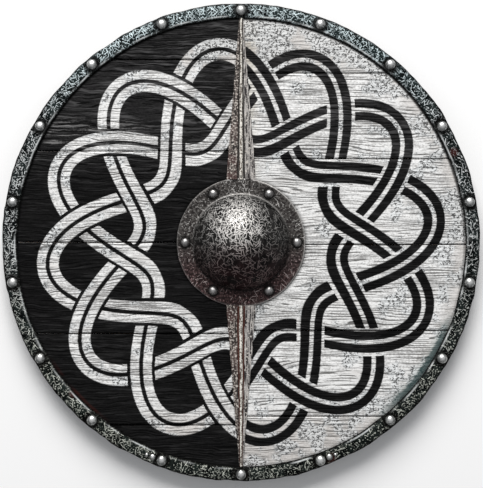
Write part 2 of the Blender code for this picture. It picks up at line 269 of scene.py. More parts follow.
# %% The crackle group
crackle, entry, end = new_group(
    "paint_crackle", SHADER, {"Vector": VECTOR, "Width": 0.082, "Cover": 0.0}, "Cracks", "Region"
)
x, y, z = parts_of(entry["Vector"])
hills = streaks(x, y, z * 20.0, 205.0, 300.0, 2.0, 0.55)
thin = ramp(abs(hills - 0.5), entry["Width"], entry["Width"] * 0.4)
broken = ramp(cloud(entry["Vector"], scale=290.0, detail=1.0), 0.42, 0.50)
regions = cloud(entry["Vector"], scale=32.0, detail=3.0, roughness=0.6)
kept = ramp(regions + entry["Cover"], 0.53, 0.62)
give(end, Cracks=thin * broken * kept, Region=kept)
print("paint_crackle has", len(crackle.nodes), "nodes")

# %% [markdown]
# ## Scratches
# Knocked and brushed steel carries short crisp scratches in every direction. They could
# be needles of stretched noise, but those merge into a web. Here each cell of a Voronoi
# texture holds one slightly bent line through its middle, turned at random, and the
# cell's own random number says whether the line is there. Seven layers of cells of
# different sizes cross each other. The place is first flattened, so that steep sides
# aren't streaked.

# %% The scratch layer group
SCRATCH_HALF_WIDTH = 0.00031
SCRATCH_FADE = 0.00022
SCRATCH_CURVE = 16.0

layer_group, entry, end = new_group(
    "scratch_layer", SHADER, {"Vector": VECTOR, "Cells per metre": 100.0, "Cover": 0.5, "Shift": 0.0},
    "Line",
)
x, y, _ = parts_of(entry["Vector"])
shifted = xyz(x + entry["Shift"], y + entry["Shift"], 0.0)
cell_inputs = {"Vector": shifted, "Scale": entry["Cells per metre"]}
cells = wires(add(
    layer_group, "ShaderNodeTexVoronoi", cell_inputs, voronoi_dimensions="2D", feature="F1",
).outputs)
away = made(layer_group, "ShaderNodeVectorMath", {0: shifted, 1: cells["Position"]}, operation="SUBTRACT")
away_x, away_y, _ = parts_of(away)
turning, chance, curving = parts_of(cells["Color"])
sine = calc("SINE", turning * math.pi)
cosine = calc("COSINE", turning * math.pi)
along = away_x * cosine + away_y * sine
across = away_y * cosine - away_x * sine + along * along * (curving - 0.5) * SCRATCH_CURVE
line = ramp(abs(across), SCRATCH_HALF_WIDTH + SCRATCH_FADE, SCRATCH_HALF_WIDTH - SCRATCH_FADE)
there = ramp(entry["Cover"] - chance, 0.0, 0.15)
give(end, Line=line * there * ramp(curving, 0.0, 1.0, 0.55, 1.0))

# %% The scratches group
CELL_SIZES = (0.0130, 0.0110, 0.0095, 0.0085, 0.0075, 0.0065, 0.0055)
LAYER_SHIFT = 0.731
FLATTEN_FROM = 0.0783
FLATTEN_SHARE = 0.6
AXIS_GUARD = 0.000001

scratches, entry, end = new_group(
    "steel_scratches", SHADER, {"Vector": VECTOR, "Fineness": 1.0, "Cover": 0.5}, "Scratches", "Dirt"
)
x, y, z = parts_of(entry["Vector"])
radius = calc("SQRT", x * x + y * y + AXIS_GUARD)
outwards = (FLATTEN_FROM - z) * FLATTEN_SHARE / radius + 1.0
flattened = xyz(x * outwards, y * outwards, 0.0)
layers = []
for number, cell_size in enumerate(CELL_SIZES, start=1):
    layers.append(placed(layer_group, {
        "Vector": flattened, "Cells per metre": entry["Fineness"] * (1 / cell_size),
        "Cover": entry["Cover"], "Shift": LAYER_SHIFT * number,
    }))
dirt = cloud(entry["Vector"], scale=60.0, detail=4.0, roughness=0.65)
give(end, Scratches=largest(*(layer["Line"] for layer in layers)), Dirt=dirt)
print("steel_scratches has", len(scratches.nodes), "nodes, each layer", len(layer_group.nodes))

# %% [markdown]
# ## The painted pattern
# The paint is black on the white half and white on the black half. The ornament is a
# plain plait of three ribbons that runs round the boss. Each ribbon swings in and out
# as a sine of the angle, a third of a turn behind the last one, and it goes over one
# neighbour and under the next. Which is on top follows from which way each is heading,
# so no drawing and no image is needed, and the edges stay sharp at any size. The swing
# is added to the logarithm of the radius: that keeps angles true, so the inner bends
# are as round as the outer ones.

# %% The plait group
RIBBONS = 3

plait, entry, end = new_group(
    "painted_plait", SHADER,
    {
        "Vector": VECTOR, "Ring radius": 0.176, "Swing": 0.345, "Ribbon": 0.0275,
        "Centre line": 0.0052, "Gap": 0.0042, "Swings": 4.0, "Softness": 0.0006,
    },
    "Ink",
)
x, y, _ = parts_of(entry["Vector"])
radius = calc("SQRT", x * x + y * y)
turn = calc("ARCTAN2", x, y)
depth = calc("LOGARITHM", radius / entry["Ring radius"], math.e)
half = entry["Ribbon"] * 0.5
inside = calc("SIGN", depth) * -1.0
soft = entry["Softness"]
hard = soft * -1.0
ribbons = []
for number in range(RIBBONS):
    angle = turn * entry["Swings"] + FULL_TURN * number / RIBBONS
    heading = calc("COSINE", angle)
    offset = (depth - calc("SINE", angle) * entry["Swing"]) * radius
    steep = entry["Swings"] * entry["Swing"] * heading
    across = abs(offset) / calc("SQRT", steep * steep + 1.0)
    body = ramp(across - half, soft, hard)
    centre_line = ramp(across - entry["Centre line"] * 0.5, hard, soft)
    cover = calc("LESS_THAN", across, half + entry["Gap"])
    ribbons.append((body * centre_line, cover, heading * inside))
inks = []
for ink, _, height in ribbons:
    for _, other_cover, other_height in ribbons:
        if other_height is not height:
            ink = ink * (1.0 - other_cover * calc("GREATER_THAN", other_height, height))
    inks.append(ink)
give(end, Ink=largest(*inks))
print("painted_plait has", len(plait.nodes), "nodes")

# %% [markdown]
# ## Materials
# Every finish starts the same way: one Principled shader, Object coordinates, and, on all
# but the floor, a Bump node for what is too fine for the mesh. UV maps would serve too, but
# Object coordinates need no unwrapping, and a pattern runs on from piece to piece. Constants
# sit on the shader's own sockets, and only what changes over the surface is linked.

# %% A material to start from
def finish(name, roughness, metallic=0.0, specular=0.5):
    """A new material; gives it, its tree, its shader and the Object coordinates."""
    material = bpy.data.materials.new(name)
    material.use_nodes = True
    tree = material.node_tree
    shader = tree.nodes["Principled BSDF"]
    shader.inputs["Roughness"].default_value = roughness
    shader.inputs["Metallic"].default_value = metallic
    shader.inputs["Specular IOR Level"].default_value = specular
    return material, tree, shader, wires(add(tree, "ShaderNodeTexCoord").outputs)["Object"]


def bump(shader, height, distance, strength):
    """Feeds a height through a Bump node to the shader's normal."""
    inputs = {"Height": height, "Distance": distance, "Strength": strength}
    feed(shader.inputs["Normal"], made(height.tree, "ShaderNodeBump", inputs))


def attribute(tree, name):
    """A number that was stored on the mesh."""
    return wires(add(tree, "ShaderNodeAttribute", attribute_name=name).outputs)["Fac"]


def rgb(red, green=None, blue=None):
    """A colour from three numbers, or a grey from one."""
    return (red, red if green is None else green, red if blue is None else blue, 1)


# %% [markdown]
# ## Painted wood
# The black paint is thin: it lies in the grain and has worn to grey on the ridges, and on
# the upper planks it is painted lighter, partly as painted light from above. The white
# paint shows the grain as fine dark lines, and crackles on the top and bottom planks and
# near the rim. Two plain materials would do if each half had one colour, but each
# carries the other's in its ornament, so both finishes are mixed in one tree. Damp has
# crept in under the rim and left a blue-green stain on one side and a rusty one on the
# other. Last come the marks of each plank's joints, whose distances are stored on the
# mesh: dark joints with painted shade along each plank's lower edge, and a pale upper
# edge that is partly wear and partly a painted highlight. Then comes the painted shade
# beside rim and boss.

# %% Colours of the paint
BLACK_LOW = rgb(0.0020, 0.0020, 0.0021)
BLACK_DULL = rgb(0.0050, 0.0049, 0.0050)
BLACK_BODY = rgb(0.0085, 0.0084, 0.0085)
BLACK_FADED_AND_LIT = rgb(0.0115, 0.0113, 0.0115)
BLACK_LIFTED_AND_LIT = rgb(0.021, 0.0205, 0.021)
BLACK_RIDGE_WEAR_AND_HIGHLIGHT = rgb(0.066, 0.065, 0.066)
BLACK_WORN = rgb(0.19, 0.187, 0.185)
BLACK_EDGE_WEAR_AND_HIGHLIGHT = rgb(0.085, 0.084, 0.084)
BLACK_JOINT_AND_SHADE = rgb(0.0014)
WHITE_BODY = rgb(0.54, 0.535, 0.525)
WHITE_BRIGHT = rgb(0.82, 0.82, 0.81)
WHITE_WARM = rgb(0.50, 0.465, 0.435)
WHITE_LINE = rgb(0.060, 0.057, 0.054)
WHITE_CRACK = rgb(0.050, 0.048, 0.047)
WHITE_CRACKLED = rgb(0.76, 0.79, 0.80)
WHITE_EDGE_WEAR_AND_HIGHLIGHT = rgb(0.92, 0.93, 0.94)
YELLOWED = rgb(0.60, 0.53, 0.38)
GREEN_STAIN = rgb(0.11, 0.21, 0.20)
DAMP_STAIN = rgb(0.035, 0.065, 0.066)
RUST_STAIN = rgb(0.055, 0.014, 0.011)
JOINT_AND_SHADE_ON_WHITE = rgb(0.006, 0.0055, 0.0055)

# %% Places on the face
RIM_INNER = 0.286
BOSS_EDGE = 0.082
BOSS_TO_RIM = RIM_INNER - BOSS_EDGE
WORN_ACROSS = (-0.27, -0.24, -0.17, -0.10)
WORN_UP = (0.100, 0.128, 0.145, 0.165)
BESIDE_SPINE = (0.0, 0.002, 0.010, 0.027)
TOP_PLANK = (0.205, 0.240)
DAMP_ARC = (1.85, 2.05, 2.30, 2.55)
RUST_ARC = (-2.52, -2.42, -2.25, -2.10)

# %% Black and white paint
def black_paint(wood, x, y):
    """Thin black paint with darker grooves, worn grey on the ridges in one streaky place, and painted
    lighter on the upper planks, partly as painted light from above.
    """
    # The upper planks are painted lighter, partly as painted light from above.
    upper = ramp(y, 0.06, 0.15, 0.10, 1.0)
    fine = wood["Hairs"] * 0.6 + wood["Speckle"] * 0.4
    mottled = ramp(fine, 0.40, 0.60)
    colour = blend(upper, blend(mottled, BLACK_DULL, BLACK_BODY), blend(mottled, BLACK_FADED_AND_LIT, BLACK_LIFTED_AND_LIT))
    # Ridge crests are painted lighter, most on the upper planks: partly wear, partly a painted highlight.
    crest = ramp(wood["Ridges"] + wood["Hairs"] * 0.3, 0.66, 0.80)
    colour = blend(crest * (upper * 0.85 + 0.12), colour, BLACK_RIDGE_WEAR_AND_HIGHLIGHT)
    worn = window(y, *WORN_UP) * window(x, *WORN_ACROSS) * ramp(wood["Ridges"] + fine * 0.5, 0.76, 0.88)
    colour = blend(worn * 0.85, colour, BLACK_WORN)
    colour = blend(upper * ramp(wood["Hairs"], 0.42, 0.34, 0.0, 0.35), colour, BLACK_RIDGE_WEAR_AND_HIGHLIGHT)
    colour = blend(ramp(wood["Hairs"], 0.56, 0.64, 0.0, 0.60), colour, BLACK_LOW)
    return blend(wood["Lines"] * 0.9, colour, BLACK_LOW)


def white_paint(wood, place, to_rim):
    """Weathered white paint with dark grooves, and squiggles where it has crackled."""
    x, y, _ = parts_of(place)
    ends = ramp(abs(y), *TOP_PLANK)
    top = ramp(y, *TOP_PLANK)
    cloudy = wood["Speckle"] * 0.45 + wood["Ridges"] * 0.25 + wood["Patches"] * 0.3
    colour = blend(ramp(cloudy, 0.42, 0.54), WHITE_BODY, WHITE_BRIGHT)
    at_rim = ramp(to_rim, 0.024, 0.002, 0.0, 0.55)
    warm = largest(ends * 0.6, ramp(wood["Patches"], 0.55, 0.80, 0.0, 0.5), at_rim)
    colour = blend(warm, colour, WHITE_WARM)
    yellowed = window(x, *BESIDE_SPINE) * ramp(y, 0.02, 0.10)
    colour = blend(yellowed * 0.28, colour, YELLOWED)
    off_rim = ramp(to_rim, 0.004, 0.013, 0.25, 1.0)
    lines = wood["Lines"] * largest(1.0 - top * 0.75, yellowed) * off_rim * 0.84
    colour = blend(lines, colour, WHITE_LINE)
    colour = blend(off_rim * ramp(wood["Hairs"], 0.58, 0.66, 0.0, 0.40), colour, WHITE_LINE)
    outer = ramp(to_rim, 0.116, 0.036, -0.02, 0.03) + ramp(to_rim, 0.031, 0.011, 0.0, 0.035)
    web = placed(crackle, {"Vector": place, "Cover": top * 0.07 + ends * 0.05 + outer})
    colour = blend(web["Region"] * 0.5, colour, WHITE_CRACKLED)
    return blend(web["Cracks"] * 0.92, colour, WHITE_CRACK), web["Cracks"]


# %% Stains and dirt
def stained(colour, wood, white, to_rim, turn):
    """Adds a blue-green stain at one side of the rim, on white paint, and rust at the other."""
    blotch = ramp(wood["Patches"], 0.35, 0.6)
    edge = ramp(to_rim, 0.016, 0.003)
    damp_arc = window(turn, *DAMP_ARC) * white
    colour = blend(edge * damp_arc * blotch * 0.4, colour, GREEN_STAIN)
    ragged = to_rim - (wood["Hairs"] - 0.5) * 0.006
    damp = ramp(ragged, 0.0085, 0.0050)
    colour = blend(damp * damp_arc * 0.85, colour, DAMP_STAIN)
    rusty = ramp(to_rim, 0.0055, 0.0020) * window(turn, *RUST_ARC)
    return blend(rusty * blotch * 0.75, colour, RUST_STAIN)


def joints_wear_and_shade(colour, wood, white, to_rim, y, from_low, from_high):
    """Adds each plank's pale upper edge, partly wear and partly a painted highlight, its dark joints with
    painted shade along each plank's lower edge, and painted shade beside rim and boss.
    """
    black = 1.0 - white
    # A pale band on each plank's upper edge: partly wear, partly a painted highlight.
    edge = window(from_high, 0.0003, 0.0008, 0.0014, 0.0030) * 0.6
    rubbed = edge * largest(ramp(wood["Patches"], 0.38, 0.55), black * 0.55)
    colour = blend(rubbed, colour, blend(white, BLACK_EDGE_WEAR_AND_HIGHLIGHT, WHITE_EDGE_WEAR_AND_HIGHLIGHT))
    # On the black half, painted shade along each plank's lower edge, joined to the dark joint.
    colour = blend(black * ramp(from_low, 0.0046, 0.0028, 0.0, 0.9), colour, BLACK_JOINT_AND_SHADE)
    # The dark joint reaches further from each plank's lower edge than from its upper one: the extra is
    # painted shade.
    joint = largest(ramp(from_low, 0.0029, 0.0017), ramp(from_high, 0.0006, 0.0002))
    # Painted shade inside the rim, strongest on the upper side, and painted shade round the boss.
    lit_side = ramp(y, -0.10, 0.12, 0.35, 1.0)
    rim_shade = ramp(to_rim, 0.0040, 0.0010, 0.0, 0.95) * lit_side
    boss_shade = ramp(to_rim, BOSS_TO_RIM - 0.005, BOSS_TO_RIM + 0.001, 0.0, 0.6)
    # Dark joints and painted shade, all mixed towards near black.
    dirt = largest(rim_shade, boss_shade, joint * 0.93)
    return blend(dirt, colour, blend(white, BLACK_JOINT_AND_SHADE, JOINT_AND_SHADE_ON_WHITE))


# %% Painted wood
FEATHERED = 0.0016


def painted_wood(name, ground, waviness):
    """Black paint for ground 0 and white for ground 1, each with the other's colour as ink."""
    material, tree, shader, place = finish(name, 0.6, specular=0.03)
    x, y, z = parts_of(place)
    seed = attribute(tree, "plank_seed")
    wood = placed(grain, {"Vector": place, "Seed": seed, "Waviness": waviness})
    to_rim = RIM_INNER - calc("SQRT", x * x + y * y)
    feather = (wood["Hairs"] - 0.5) * FEATHERED
    brushed = xyz(x + feather, y + feather * 0.5, z)
    white = abs(ground - placed(plait, {"Vector": brushed})["Ink"])
    light, cracks = white_paint(wood, place, to_rim)
    colour = blend(white, black_paint(wood, x, y), light)
    colour = stained(colour, wood, white, to_rim, calc("ARCTAN2", x, y))
    joints = (attribute(tree, "from_low_joint"), attribute(tree, "from_high_joint"))
    feed(shader.inputs["Base Color"], joints_wear_and_shade(colour, wood, white, to_rim, y, *joints))
    feed(shader.inputs["Roughness"], ramp(wood["Ridges"], 0.3, 0.8, 0.72, 0.50))
    raised = wood["Ridges"] * 0.7 + wood["Hairs"] * 0.5 + wood["Speckle"] * 0.3
    relief = raised - wood["Lines"] * 0.55 - cracks * white * 0.5
    bump(shader, relief * largest(white, ramp(y, -0.02, 0.12, 0.55, 1.0)), 0.0010, 0.85)
    return material


BLACK_WAVINESS = 1.0
WHITE_WAVINESS = 0.28
black_wood = painted_wood("black_painted_wood_worn", 0.0, BLACK_WAVINESS)
white_wood = painted_wood("white_painted_wood_weathered", 1.0, WHITE_WAVINESS)
print(black_wood.name, "has", len(black_wood.node_tree.nodes), "nodes")

# %% [markdown]
# ## Bare wood
# The backs of the planks, the grip bar and the battens were never painted. They could
# have a wood of their own, but the grain group already holds the pattern. So they take
# it with another seed, in the warm brown of handled wood, and on the upright bars X and
# Y change places, so that it runs along them.

# %% Bare wood
WOOD_DIRT = rgb(0.09, 0.055, 0.035)
BARE_SEED = 4.2


def bare_wood_finish(name, light, dark, along_y):
    """Brown wood, with the grain along X or Y."""
    material, _, shader, place = finish(name, 0.62, specular=0.3)
    x, y, z = parts_of(place)
    wood = placed(grain, {"Vector": xyz(y, x, z) if along_y else place, "Seed": BARE_SEED})
    colour = blend(ramp(wood["Ridges"], 0.3, 0.7), dark, light)
    colour = blend(ramp(wood["Lines"], 0.55, 0.7, 0.0, 0.7), colour, dark)
    colour = blend(ramp(wood["Patches"], 0.35, 0.7, 0.0, 0.5), colour, WOOD_DIRT)
    feed(shader.inputs["Base Color"], colour)
    bump(shader, wood["Ridges"] - wood["Lines"] * 0.4, 0.0006, 0.7)
    return material


plank_back_wood = bare_wood_finish("plank_back_wood", rgb(0.30, 0.205, 0.13), rgb(0.13, 0.082, 0.05), False)
bar_wood = bare_wood_finish("handled_bar_wood", rgb(0.36, 0.235, 0.14), rgb(0.15, 0.09, 0.05), True)

# %% [markdown]
# ## Planks
# Six planks a side are cut to one disc, with a round hole for the hand. They repeat
# with other widths, so one geometry tree makes them all. It starts from a subdivided
# cube and moves each point: along Y between the two joints, along X from the middle or
# the hole out to the circle, and in Z by the grain rule, with the joint edges rounded
# over. Its sizes are named inputs, and each plank only sets its own.

# %% The plank tree
BOARD_RADIUS = 0.3005
CELLS_ALONG = 84
CELLS_PER_METRE_ACROSS = 1300
EDGE_CROWDING = 0.45 / FULL_TURN
CHIPS_PER_METRE = 60.0

plank_tree, entry, end = new_group(
    "plank", GEOMETRY,
    {
        "Side": 1.0, "Low joint": 0.0, "High joint": 0.1, "Board radius": BOARD_RADIUS,
        "Hole radius": 0.054, "Back": 0.0163, "Front": 0.0281, "Joint gap": 0.0005,
        "Round over": 0.0021, "Relief": 0.0011, "Cupping": 0.0003, "Seed": 0.0, "Waviness": 1.0,
        "Cells across": 60, "Front finish": MATERIAL, "Back finish": MATERIAL,
    },
    "Geometry",
)


def reach(radius, height):
    """How far the circle of this radius goes in X at a height in Y."""
    return calc("SQRT", largest(radius * radius - height * height, 0.0))


cube_cells = {"Vertices X": CELLS_ALONG, "Vertices Y": entry["Cells across"], "Vertices Z": 2}
block = made(plank_tree, "GeometryNodeMeshCube", {"Size": (1.0, 1.0, 1.0), **cube_cells})
u, v, w = [share + 0.5 for share in parts_of(made(plank_tree, "GeometryNodeInputPosition"))]

half_gap = entry["Joint gap"] * 0.5
low = entry["Low joint"] + half_gap
high = entry["High joint"] - half_gap
share = v - calc("SINE", v * FULL_TURN) * EDGE_CROWDING
plank_y = low + share * (high - low)
inner = largest(reach(entry["Hole radius"], plank_y), half_gap)
outer = reach(entry["Board radius"], plank_y)
plank_x = (inner + u * (outer - inner)) * entry["Side"]

ridges, lines, _ = grain_rule(plank_x, plank_y, entry["Seed"], entry["Waviness"])
rise = (ridges * 0.8 - (lines * 0.30 + 0.30)) * entry["Relief"]
from_low = plank_y - low
from_high = high - plank_y
chips = cloud(xyz(plank_x * CHIPS_PER_METRE, entry["Low joint"], entry["Seed"]))
round_over = entry["Round over"] * (chips + 0.5)
short_of = largest(round_over - calc("MINIMUM", from_low, from_high), 0.0)
drop = round_over - calc("SQRT", round_over * round_over - short_of * short_of)
off_middle = share * 2.0 - 1.0
front_z = entry["Front"] + rise - (drop + entry["Cupping"] * (off_middle * off_middle))
plank_z = entry["Back"] + w * (front_z - entry["Back"])

# %% Finish the plank tree
shape_inputs = {"Geometry": block, "Position": xyz(plank_x, plank_y, plank_z)}
shaped = made(plank_tree, "GeometryNodeSetPosition", shape_inputs)
turned_over = calc("LESS_THAN", entry["Side"], 0.0)
plank = made(plank_tree, "GeometryNodeFlipFaces", {"Mesh": shaped, "Selection": turned_over})
stored = {"plank_seed": entry["Seed"], "from_low_joint": from_low, "from_high_joint": from_high}
for title, value in stored.items():
    store = add(plank_tree, "GeometryNodeStoreNamedAttribute", {"Geometry": plank, "Name": title})
    feed(store.inputs["Value"], value)
    plank = Wire(store.outputs[0])
plank = made(plank_tree, "GeometryNodeSetShadeSmooth", {"Geometry": plank})
plank = made(plank_tree, "GeometryNodeRealizeInstances", {"Geometry": plank})
front_inputs = {"Geometry": plank, "Material": entry["Front finish"]}
plank = made(plank_tree, "GeometryNodeSetMaterial", front_inputs)
facing = parts_of(made(plank_tree, "GeometryNodeInputNormal"))[2]
back_inputs = {
    "Geometry": plank, "Selection": calc("LESS_THAN", facing, -0.5), "Material": entry["Back finish"],
}
give(end, Geometry=made(plank_tree, "GeometryNodeSetMaterial", back_inputs))
print("plank tree has", len(plank_tree.nodes), "nodes")

# %% [markdown]
# ## From a tree to a plain mesh
# The export keeps meshes, not trees. Applying the modifier by an operator would need the
# right selection, so each piece is evaluated once instead, its result is copied into a
# plain mesh, and the modifier is gone before the piece joins the frame.

# %% Run a geometry tree
def shown(name, mesh):
    """Links a mesh to the scene as an object at the origin."""
    piece = bpy.data.objects.new(name, mesh)
    bpy.context.scene.collection.objects.link(piece)
    return piece


def grown(name, tree, settings, start=None):
    """Runs a tree on a start mesh and gives an object with the plain result."""
    carrier = shown(name + "_carrier", start or bpy.data.meshes.new(name + "_start"))
    modifier = carrier.modifiers.new("tree", "NODES")
    modifier.node_group = tree
    sockets = {item.name: item.identifier for item in tree.interface.items_tree if item.in_out == "INPUT"}
    for title, value in settings.items():
        modifier[sockets[title]] = value
    bpy.context.view_layer.update()
    evaluated = carrier.evaluated_get(bpy.context.evaluated_depsgraph_get())
    mesh = bpy.data.meshes.new_from_object(evaluated)
    carrier.modifiers.remove(modifier)
    bpy.data.objects.remove(carrier)
    mesh.name = name
    return shown(name, mesh)


def join_frame(piece, slot, *nodes):
    """The piece rides on the shield's one body, and the solids it takes the place of are hidden."""
    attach(piece, "root")
    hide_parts(*nodes)
    return piece


def triangles(piece):
    """How many triangles a piece has."""
    return sum(len(polygon.vertices) - 2 for polygon in piece.data.polygons)


# %% Grow the twelve planks
PLANKS_A_SIDE = 6
BOARD_TIP = BOARD_RADIUS * 0.9985
FRONT_ROOM = 0.0002
HALVES = {
    "left": {"Side": -1.0, "Relief": 0.0011, "Waviness": BLACK_WAVINESS, "Front finish": black_wood},
    "right": {"Side": 1.0, "Relief": 0.0007, "Waviness": WHITE_WAVINESS, "Front finish": white_wood},
}
SEED_STEP = 3.7
FIRST_SEED = {"left": 0.0, "right": 50.0}
HALF_SLOTS = {"left": "black_painted_wood", "right": "white_painted_wood"}
plank_triangles = 0
for side, half_settings in HALVES.items():
    for number in range(1, PLANKS_A_SIDE + 1):
        node = f"plank_{side}_{number}"
        lowest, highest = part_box(node)
        bottom = max(lowest.y, -BOARD_TIP)
        top = min(highest.y, BOARD_TIP)
        settings = {
            "Low joint": bottom, "High joint": top, "Back": lowest.z, "Front": highest.z - FRONT_ROOM,
            "Seed": SEED_STEP * number + FIRST_SEED[side], "Back finish": plank_back_wood,
            "Cells across": int(CELLS_PER_METRE_ACROSS * (top - bottom)),
        }
        piece = grown(f"painted_board_{side}_{number}", plank_tree, {**half_settings, **settings})
        join_frame(piece, HALF_SLOTS[side], node)
        plank_triangles += triangles(piece)
print("twelve planks,", plank_triangles, "triangles")

# %% [markdown]
# ## Lofts
# The rim, the boss, the spines and the bars are all skins over a row of sections. A
# lathe would do for the boss and a curve with a bevel for the rim, but hammered steel
# isn't that even. A loft lets each section differ a little from the last.

# %% Skin a row of sections
MERGE = 0.000001
SHARP_ANGLE = 42


def loft(name, rings, ring_closed=True, joined=False):
    """Skins a row of equal rings; joined runs the last into the first, or the ends are capped."""
    count = len(rings[0])
    rows = len(rings) if joined else len(rings) - 1
    columns = count if ring_closed else count - 1
    faces = []
    for row in range(rows):
        this, following = row * count, (row + 1) % len(rings) * count
        for column in range(columns):
            beside = (column + 1) % count
            faces.append((this + column, this + beside, following + beside, following + column))
    if not joined:
        faces.append(tuple(range(count)))
        faces.append(tuple(range((len(rings) - 1) * count, len(rings) * count)))
    mesh = bpy.data.meshes.new(name)
    mesh.from_pydata([point for ring in rings for point in ring], [], faces)
    shell = bmesh.new()
    shell.from_mesh(mesh)
    bmesh.ops.remove_doubles(shell, verts=shell.verts, dist=MERGE)
    bmesh.ops.dissolve_degenerate(shell, edges=shell.edges, dist=MERGE)
    bmesh.ops.recalc_face_normals(shell, faces=shell.faces)
    shell.to_mesh(mesh)
    shell.free()
    mesh.polygons.foreach_set("use_smooth", [True] * len(mesh.polygons))
    mesh.set_sharp_from_angle(angle=math.radians(SHARP_ANGLE))
    return shown(name, mesh)


# %% Marks and places
def mark(piece, **rules):
    """Stores numbers on each vertex, each worked out by a rule from where the vertex is."""
    for name, rule in rules.items():
        values = [rule(vertex.co) for vertex in piece.data.vertices]
        piece.data.attributes.new(name, "FLOAT", "POINT").data.foreach_set("value", values)


def shares(steps):
    """Even shares of a way, from 0 to 1."""
    return [step / steps for step in range(steps + 1)]


def clamp(value, low=0.0, high=1.0):
    """The value kept between two limits."""
    return max(low, min(high, value))


def flat_radius(place):
    """How far a point is from the shield's axis."""
    return math.hypot(place.x, place.y)


def wear(place, size, depth, seed):
    """Smooth random relief: size is how far apart the dents are, depth how deep."""
    return depth * noise.noise((Vector(place) + Vector((seed, 2.3 * seed, 5.1 * seed))) / size)


def clock_point(angle, radius, height=0.0):
    """A point on the face by clock angle: 0 at the top, 90 at three o'clock."""
    turned = math.radians(angle)
    return Vector((radius * math.sin(turned), radius * math.cos(turned), height))


def middle(node):
    """The middle of a node's box."""
    lowest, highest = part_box(node)
    return (lowest + highest) / 2


# %% [markdown]
# ## Dark steel
# Rim, boss and rivets are iron, blackened and then rubbed bright again on every high
# spot. One function mixes them: a mottled dark ground with bright specks, grey plate
# where the boss is flat, bright scratches that lie thicker and brighter where a polish
# mark, partly a painted highlight, says so, a red-brown stain that is partly painted
# shade, a tint for the top and a darker one for the lower half that is partly painted
# shade, then rust, worn metal with painted highlights, and dirt with painted shade where
# the mesh is marked with them.

# %% Colours of old steel
PLATE_DARK = rgb(0.022, 0.019, 0.018)
PLATE_LIGHT = rgb(0.085, 0.078, 0.073)
STAIN_AND_SHADE_GROUND = rgb(0.60, 0.13, 0.19)
STAIN_AND_SHADE_BRIGHT = rgb(0.95, 0.72, 0.73)
RUST_DARK = rgb(0.030, 0.009, 0.009)
RUST_LIGHT = rgb(0.090, 0.028, 0.024)
STEEL_DIRT_AND_SHADE = rgb(0.003, 0.0028, 0.0026)

# %% Blackened steel
def steel_ground(tree, place, dirt, polish, dark, mid, bright, specks):
    """The mottled ground below the scratches, and where it is the boss's flat plate."""
    flat = attribute(tree, "flat")
    # The polish mark, partly a painted highlight, lifts the ground towards the mid colour.
    colour = blend(ramp(dirt + polish * 0.16, 0.40, 0.62), dark, mid)
    speckled = ramp(cloud(place, scale=460.0, detail=1.0), 0.59, 0.70, 0.0, specks)
    colour = blend(speckled, colour, bright)
    grainy = ramp(cloud(place, scale=330.0, detail=1.0), 0.40, 0.62)
    flecks = ramp(cloud(place, scale=520.0, detail=1.0), 0.64, 0.70, 0.0, 0.45)
    plate = blend(flecks, blend(grainy, PLATE_DARK, PLATE_LIGHT), bright)
    return blend(flat * 0.9, colour, plate), flat


def steel(name, dark, mid, bright, top_tint, low_tint_and_shade, fineness, patchy, least, specks, relief, **sheen):
    """Blackened steel; patchy varies how thick its scratches lie, least is how bright dull ones are."""
    material, tree, shader, place = finish(name, **sheen)
    _, y, _ = parts_of(place)
    polish = attribute(tree, "polish")
    stain = attribute(tree, "stain")
    patch = cloud(place, scale=45.0, detail=3.0, roughness=0.6)
    cover = attribute(tree, "scratched") + (patch - 0.5) * patchy
    net = placed(scratches, {"Vector": place, "Fineness": fineness, "Cover": cover})
    colour, flat = steel_ground(tree, place, net["Dirt"], polish, dark, mid, bright, specks)
    # The stain mark darkens the boss's lower half: a red-brown patina and partly painted shade.
    colour = blend(stain, colour, STAIN_AND_SHADE_GROUND, "MULTIPLY")
    # The polish mark, partly a painted highlight, makes the scratches brighter.
    rubbed = calc("SQRT", largest(polish, 0.0))
    strength = calc("MINIMUM", rubbed * 0.95 + flat * 0.45 + least, 1.0)
    colour = blend(net["Scratches"] * strength, colour, bright)
    colour = blend(ramp(y, 0.12, 0.24), colour, top_tint, "MULTIPLY")
    # The lower half is tinted darker, partly as painted shade.
    colour = blend(ramp(y, 0.05, -0.20), colour, low_tint_and_shade, "MULTIPLY")
    # The stain mark again: red-brown patina and partly painted shade.
    colour = blend(stain, colour, STAIN_AND_SHADE_BRIGHT, "MULTIPLY")
    colour = blend(attribute(tree, "rust"), colour, blend(net["Dirt"], RUST_DARK, RUST_LIGHT))
    # Painted highlights, partly worn metal, where the mesh is marked.
    colour = blend(attribute(tree, "shine"), colour, bright)
    # Dirt and painted shade where the mesh is marked.
    colour = blend(attribute(tree, "grime") * 0.94, colour, STEEL_DIRT_AND_SHADE)
    feed(shader.inputs["Base Color"], colour)
    bump(shader, net["Dirt"] * 0.8 + net["Scratches"] * 0.15, relief, 0.7)
    return material


